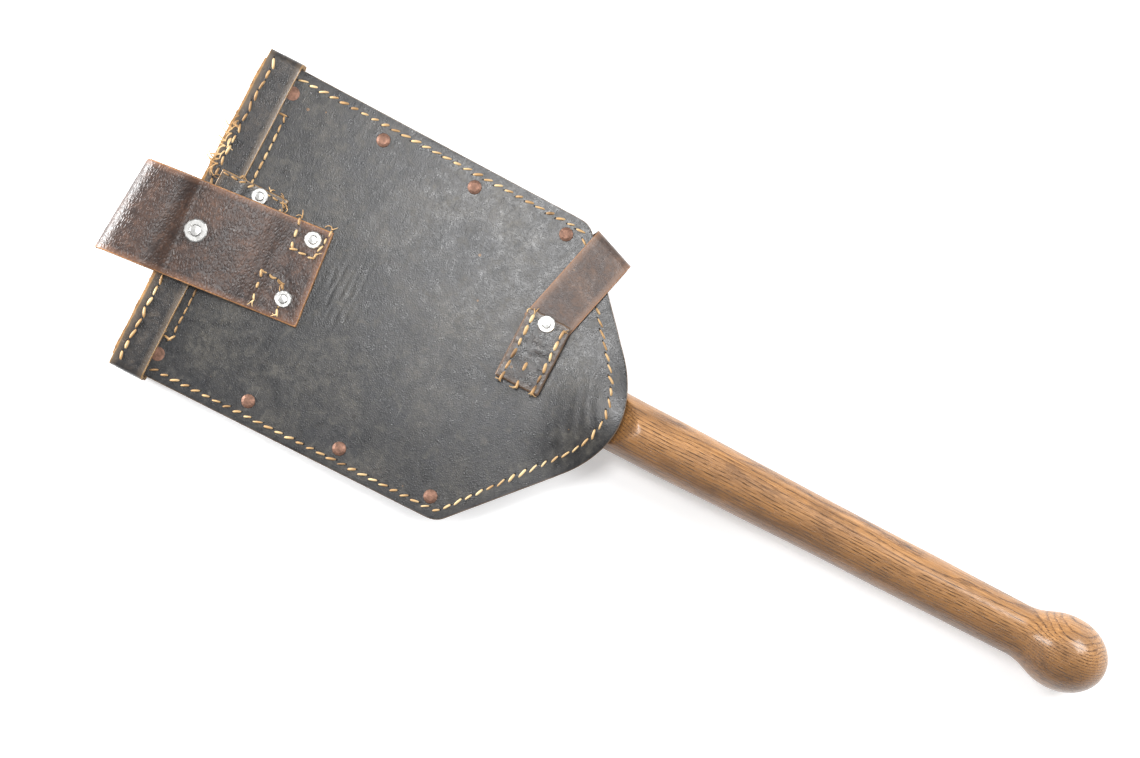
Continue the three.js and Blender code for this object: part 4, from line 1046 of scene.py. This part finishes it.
pad_corners = [(-68.5, 34, PAD_TOP, 100), (-68.5, -5, PAD_TOP, 260), (-59.2, -5, PAD_TOP, 270),
               (-50, -4, PAD_TOP, 280), (-72, 33, PAD_TOP - 0.6, 180), (-50, 32, PAD_TOP, 40)]
tufts("pad_thread_ends", pad_corners, "carrier", length=3.4, seed=4)
loop_ends = [*[(x, y, z, 60) for x, y, z in on_loop([(-206, 22), (-188.5, 24), (-190, 6)])],
             *[(x, y, z, 250) for x, y, z in on_loop([(-208.5, -29.5), (-194, -31), (-199, -15)])],
             (-216, 23, 8.4, 60), (-220, 26.5, 8.2, 80), (-228, 27, 8.2, 100), (-246, 26, 10.6, 90),
             (-256, 22, 10.6, 160)]
tufts("loop_thread_ends", loop_ends, "carrier", length=4.2, seed=6)
band_ends = [(MOUTH_X + 1.5 + (i % 3), 56 - i * 2.6, BAND_TOP + 0.2, 250 - 20 * (i % 4)) for i in range(13)]
tufts("band_thread_ends", band_ends, "carrier", length=6.5, thick=0.45, seed=9)

# ---- Rivets -------------------------------------------------------------------------------------
# Copper rivets hold the two sides, brown with age. The loop and the strap have aluminium rivets
# hammered over bright washers.
def metal(name, bright, dull, roughness, share=(0.4, 0.65), metallic=1.0, stain=2.5):
    """Bare metal with stains and fine scratches.

    share is where the stain starts and where it is full, and stain its size in millimetres. Real
    scratches are 0.05 mm wide and a few millimetres long; they are drawn 0.2 mm wide, to show.
    """
    made, tree = new_material(name)
    place = add(tree, "ShaderNodeTexCoord").outputs["Object"]
    stains = add(tree, "ShaderNodeTexNoise", {"Scale": 1000 / stain, "Detail": 6, "Roughness": 0.7},
                 {"Vector": place})
    tone = add(tree, "ShaderNodeValToRGB", {"stops": [(share[0], bright), (share[1], dull)]},
               {"Fac": stains.outputs["Fac"]})
    turned = add(tree, "ShaderNodeMapping",
                 {"Rotation": (0, 0, 0.7), "Scale": (1000 / 3.3, 1000 / 0.2, 1000 / 0.33)}, {"Vector": place})
    scratches = add(tree, "ShaderNodeTexNoise", {"Scale": 1, "Detail": 3},
                    {"Vector": turned.outputs["Vector"]})
    bump = add(tree, "ShaderNodeBump", {"Strength": 0.3, "Distance": 0.00002},
               {"Height": scratches.outputs["Fac"]})
    wear = add(tree, "ShaderNodeMapRange",
               {"From Min": 0.3, "From Max": 0.7, "To Min": roughness, "To Max": roughness + 0.22},
               {"Value": stains.outputs["Fac"]})
    surface = add(tree, "ShaderNodeBsdfPrincipled", {"Metallic": metallic},
                  {"Base Color": tone.outputs["Color"], "Roughness": wear.outputs["Result"],
                   "Normal": bump.outputs["Normal"]})
    add(tree, "ShaderNodeOutputMaterial", None, {"Surface": surface.outputs["BSDF"]})
    return made


def finish_node(name, material, bevel=0.0):
    """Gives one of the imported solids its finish: material, soft edges, smooth round faces."""
    node = frame["nodes"][name]
    node.data.materials.clear()
    node.data.materials.append(material)
    node.data.polygons.foreach_set("material_index", [0] * len(node.data.polygons))
    node.data.polygons.foreach_set("use_smooth", [True] * len(node.data.polygons))
    node.data.set_sharp_from_angle(angle=math.radians(35))
    if bevel:
        softened = node.modifiers.new("soft_edges", "BEVEL")
        softened.width = bevel / 1000
        softened.segments = 2
        softened.limit_method = "ANGLE"
        softened.angle_limit = math.radians(35)


# Drawn copper, its heads hammered: gone brown and dull, pinkish only where the leather has rubbed it.
old_copper = metal("old_copper", "#94705f", "#5f4a40", 0.42, share=(0.35, 0.7), metallic=0.8)
# Soft aluminium, hammered over its washer: pale, with a blurred shine and grey stains.
bright_aluminium = metal("hammered_aluminium", "#d9d9d7", "#9c9b98", 0.28)
for side in ("upper", "lower"):
    for number in range(1, 5):
        finish_node(f"{side}_side_rivet_{number}", old_copper, 0.15)
        finish_node(f"{side}_side_burr_{number}", old_copper, 0.15)
for name in ("loop_corner_1", "loop_corner_2", "loop_tab", "loop_main", "strap", "chape"):
    finish_node(name + "_rivet", bright_aluminium, 0.2)
    finish_node(name + "_burr", bright_aluminium, 0.2)

# ---- Buckle -------------------------------------------------------------------------------------
# A steel roller buckle on the front. A strip of black leather folds round its bar, is slotted for
# the prong and is held by one rivet; a loop of brown leather round it keeps the strap's end.
BUCKLE_FRAME = CARRIER @ Matrix.Translation((-66, -44, -9.8)) @ Matrix.Rotation(math.radians(79), 4, "Z")
CHAPE_THICK = 1.6
chape_middle = [(-35, 2.9), (-20, 2.9), (-8, 2.9)] + arc((0, 0), 2.9, 90, -90, 16)
chape_middle += bezier((0, -2.9), (-6, -2.9), (-9, -2.9), (-13, -2.7), 5)
chape_middle += bezier((-13, -2.7), (-16, -2.4), (-16, 1.0), (-20, 1.0), 8)
chape_middle += [(-26, 1.0), (-35, 1.0)]
chape_place, chape_length = path_lay(outside(chape_middle, CHAPE_THICK / 2))


def lay_chape(s, y):
    """s along the strip, round the bar; y across it."""
    x, z = chape_place(s)
    return x, y, z


CHAPE_HALF = 12
SLOT_HALF = 3.2
slot_from, slot_to = 28.5, 51.0
slot_hole = [(slot_from, -SLOT_HALF), (slot_to, -SLOT_HALF), (slot_to, SLOT_HALF), (slot_from, SLOT_HALF)]
chape_outline = [(0, -CHAPE_HALF), (chape_length, -CHAPE_HALF), (chape_length, CHAPE_HALF), (0, CHAPE_HALF)]
chape = cut_leather("buckle_chape_leather", chape_outline, lay_chape, CHAPE_THICK, [band_black, browned_edge],
                    cell=1.5, edge=0.4, matrix=BUCKLE_FRAME, holes=[slot_hole])
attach(chape, "carrier")
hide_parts("buckle_chape")

KEEPER_THICK = 1.3
keeper_line = [(0, -0.1)] + arc((12.9, -2.2), 2.1, 90, 0, 6) + arc((12.9, -6.1), 2.1, 0, -90, 6)
keeper_line += arc((-12.9, -6.1), 2.1, 270, 180, 6) + arc((-12.9, -2.2), 2.1, 180, 90, 6) + [(-0.2, -0.1)]
keeper_place, keeper_length = path_lay(keeper_line)


def lay_keeper(s, x):
    """s round the chape, x along it."""
    y, z = keeper_place(s)
    return x, y, z


keeper_outline = [(0, -12.4), (keeper_length, -12.4), (keeper_length, -7.4), (0, -7.4)]
keeper = cut_leather("strap_keeper_leather", keeper_outline, lay_keeper, KEEPER_THICK,
                     [brown_pebbled, loop_edge], cell=1.2, edge=0.3, matrix=BUCKLE_FRAME, face_down=True)
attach(keeper, "carrier")
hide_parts("strap_keeper")

# Rolled mild steel, worn bare: mid-grey and half dull, with browner stains about 17 mm across.
dull_steel = metal("dull_steel", "#909190", "#6f6b66", 0.34, share=(0.42, 0.72), stain=1000 / 60)
for name in ("buckle_frame", "buckle_roller", "buckle_prong"):
    finish_node(name, dull_steel, 0.5 if name == "buckle_frame" else 0.0)

# ---- Blade and its fittings -----------------------------------------------------------------------
# A pressed steel blade, riveted between two steel tongues. The tongues run on over the handle's
# wedge, where a rivet and two screws hold them.
for name in ("blade", "front_tongue", "rear_tongue"):
    finish_node(name, dull_steel, 0.4 if name != "blade" else 0.0)
for name in ("blade_rivet_1", "blade_rivet_2", "blade_rivet_3", "handle_rivet", "tongue_screw_1",
             "tongue_screw_2"):
    finish_node(name, dull_steel, 0.2)

# ---- Handle ---------------------------------------------------------------------------------------
# One piece of turned ash, oiled and darkened by hands, with a round knob. Its other end is sawn to a
# wedge that goes in between the steel tongues.
AXIS_Z = -6                     # the handle's axis, under the nose's tip
ROUND = 96
NECK_RADIUS = 16.5
KNOB_X = 272                    # the knob's widest place
KNOB_RADIUS = 20.9
KNOB_LENGTH = 25.5              # from there to its end
handle_line = [np.array((x, NECK_RADIUS)) for x in np.linspace(-53, 30, 60)]
handle_line += bezier((30, NECK_RADIUS), (76, 15.8), (120, 15.2), (160, 15.1), 30)
handle_line += bezier((160, 15.1), (188, 14.95), (216, 14.8), (244, 14.6), 20)
handle_line += bezier((244, 14.6), (256, 14.9), (258, KNOB_RADIUS), (KNOB_X, KNOB_RADIUS), 24)
for turn in np.linspace(0, math.pi / 2 - 0.02, 26)[1:]:
    handle_line.append(np.array((KNOB_X + KNOB_LENGTH * math.sin(turn), KNOB_RADIUS * math.cos(turn))))


def on_blade(x, z):
    """A point of the leaning blade's side view, in the level handle's own."""
    return (x * math.cos(lean) - z * math.sin(lean), x * math.sin(lean) + z * math.cos(lean))


wedge_top = np.array([on_blade(-56, -1.3), on_blade(-14, -1.3), (8, 9.9), (20, 12), (60, 30)])
wedge_under = np.array([on_blade(-56, -4.2), on_blade(-52, -4.6), (22, -22.5), (24, -30)])
vertices, grain = [], []
for x, radius in handle_line:
    top = np.interp(x, wedge_top[:, 0], wedge_top[:, 1])
    under = np.interp(x, wedge_under[:, 0], wedge_under[:, 1])
    for i in range(ROUND):
        turn = 2 * math.pi * i / ROUND
        y = radius * math.cos(turn)
        z = AXIS_Z + radius * math.sin(turn)
        z = min(max(z, under), top)
        uneven = 0.12 * noise.noise(Vector((x / 30, y / 9, z / 9)))
        vertices.append((x, y * (1 + uneven / radius), z))
        grain.append((x, y, z))
faces = []
rings = len(handle_line)
for ring in range(rings - 1):
    for i in range(ROUND):
        following = (i + 1) % ROUND
        near, far = ring * ROUND, (ring + 1) * ROUND
        faces.append((near + i, near + following, far + following, far + i))
faces.append(tuple(range(ROUND)))
faces.append(tuple(reversed(range((rings - 1) * ROUND, rings * ROUND))))
mesh = bpy.data.meshes.new("handle_wood")
mesh.from_pydata(vertices, [], [face[::-1] for face in faces])
mesh.attributes.new("grain", "FLOAT_VECTOR", "POINT").data.foreach_set("vector", np.array(grain).ravel())
mesh.polygons.foreach_set("use_smooth", [True] * len(mesh.polygons))
mesh.set_sharp_from_angle(angle=math.radians(30))

# Ash, turned and oiled: its yearly rings show as long lines, 1.7 mm apart across the handle, with
# dark open pores in them, and dirt has settled where hands hold it. Its side towards -y is streaked
# darker with painted shade. The pores are 0.2 mm wide, and they are drawn at 0.36 mm, because finer
# ones would not show.
oiled_ash, tree = new_material("oiled_ash")
RING_WIDTH = 1.7
grain = add(tree, "ShaderNodeAttribute", {"attribute_name": "grain"}).outputs["Vector"]
# The wood's unevenness: how long its lumps are along the grain and how wide across it, in
# millimetres, then their detail, roughness and distortion.
in_wood = {}
for kind, long, wide, detail, roughness, distortion in (
    ("sway", 110, 26, 2, 0.5, 0),
    ("streaks", 60, 0.9, 5, 0.65, 0),
    ("pores", 7, 0.36, 2, 0.5, 0),
    ("grime", 38, 14, 6, 0.7, 0.4),
):
    place = add(tree, "ShaderNodeMapping", {"Scale": (1 / long, 1 / wide, 1 / wide)}, {"Vector": grain})
    lumps = add(tree, "ShaderNodeTexNoise",
                {"Scale": 1, "Detail": detail, "Roughness": roughness, "Distortion": distortion},
                {"Vector": place.outputs["Vector"]})
    in_wood[kind] = lumps.outputs["Fac"]

# The rings are tilted planes along the handle, bent by the sway; the pores are in their early wood.
across = add(tree, "ShaderNodeSeparateXYZ", None, {"Vector": grain})
tilted = add(tree, "ShaderNodeMath", {"operation": "MULTIPLY_ADD", 1: 0.45},
             {0: across.outputs["Z"], 2: across.outputs["Y"]})
bent = add(tree, "ShaderNodeMath", {"operation": "MULTIPLY_ADD", 1: 9.0},
           {0: in_wood["sway"], 2: tilted.outputs["Value"]})
counted = add(tree, "ShaderNodeMath", {"operation": "MULTIPLY", 1: 1 / RING_WIDTH},
              {0: bent.outputs["Value"]})
ring_share = add(tree, "ShaderNodeMath", {"operation": "FRACT"}, {0: counted.outputs["Value"]})
early = add(tree, "ShaderNodeMapRange", {"From Min": 0.62, "From Max": 0.95},
            {"Value": ring_share.outputs["Value"]})
ring_part = add(tree, "ShaderNodeMath", {"operation": "MULTIPLY", 1: 0.42}, {0: early.outputs["Result"]})
pore_share = add(tree, "ShaderNodeMapRange", {"From Min": 0.5, "From Max": 0.6}, {"Value": in_wood["pores"]})
pore_early = add(tree, "ShaderNodeMath", {"operation": "MULTIPLY_ADD", 1: 0.75, 2: 0.2},
                 {0: early.outputs["Result"]})
pore_dark = add(tree, "ShaderNodeMath", {"operation": "MULTIPLY"},
                {0: pore_share.outputs["Result"], 1: pore_early.outputs["Value"]})
grime_share = add(tree, "ShaderNodeMapRange", {"From Min": 0.46, "From Max": 0.68, "To Max": 0.62},
                  {"Value": in_wood["grime"]})
# Painted shade: dark streaks on the handle's -y side, the side turned away from the window light.
painted_shade_side = add(tree, "ShaderNodeMapRange", {"From Min": 5.0, "From Max": -10.0, "To Max": 0.95},
                 {"Value": across.outputs["Y"]})
streak_share = add(tree, "ShaderNodeMapRange", {"From Min": 0.34, "From Max": 0.68},
                   {"Value": in_wood["streaks"]})
painted_shade_streaks = add(tree, "ShaderNodeMath", {"operation": "MULTIPLY"},
                   {0: painted_shade_side.outputs["Result"], 1: streak_share.outputs["Result"]})

streaky = add(tree, "ShaderNodeMix", {"data_type": "RGBA", 6: "#946533", 7: "#c9935a"},
              {0: streak_share.outputs["Result"]})
wood = streaky.outputs[2]
for strength, colour in (
    (ring_part.outputs["Value"], "#6f4524"),
    (pore_dark.outputs["Value"], "#38220f"),
    (grime_share.outputs["Result"], "#5c3d22"),
    (painted_shade_streaks.outputs["Value"], "#3d2411"),
):
    layer = add(tree, "ShaderNodeMix", {"data_type": "RGBA", 7: colour}, {0: strength, 6: wood})
    wood = layer.outputs[2]
wood_bump = add(tree, "ShaderNodeBump", {"Strength": 1.0, "Distance": 0.00035, "invert": True},
                {"Height": pore_dark.outputs["Value"]})
streak_bump = add(tree, "ShaderNodeBump", {"Strength": 0.6, "Distance": 0.0002},
                  {"Height": in_wood["streaks"], "Normal": wood_bump.outputs["Normal"]})
oil = add(tree, "ShaderNodeMapRange", {"From Min": 0.3, "From Max": 0.7, "To Min": 0.34, "To Max": 0.52},
          {"Value": in_wood["grime"]})
surface = add(tree, "ShaderNodeBsdfPrincipled", {"Coat Weight": 0.5, "Coat Roughness": 0.2},
              {"Base Color": wood, "Roughness": oil.outputs["Result"],
               "Normal": streak_bump.outputs["Normal"]})
add(tree, "ShaderNodeOutputMaterial", None, {"Surface": surface.outputs["BSDF"]})

SPADE = Matrix.Translation((nose.x, NECK_Y / 1000, nose.z)) @ Matrix.Scale(0.001, 4)
handle = link("handle_wood", mesh, [oiled_ash], SPADE)
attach(handle, "shovel")
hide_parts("handle")
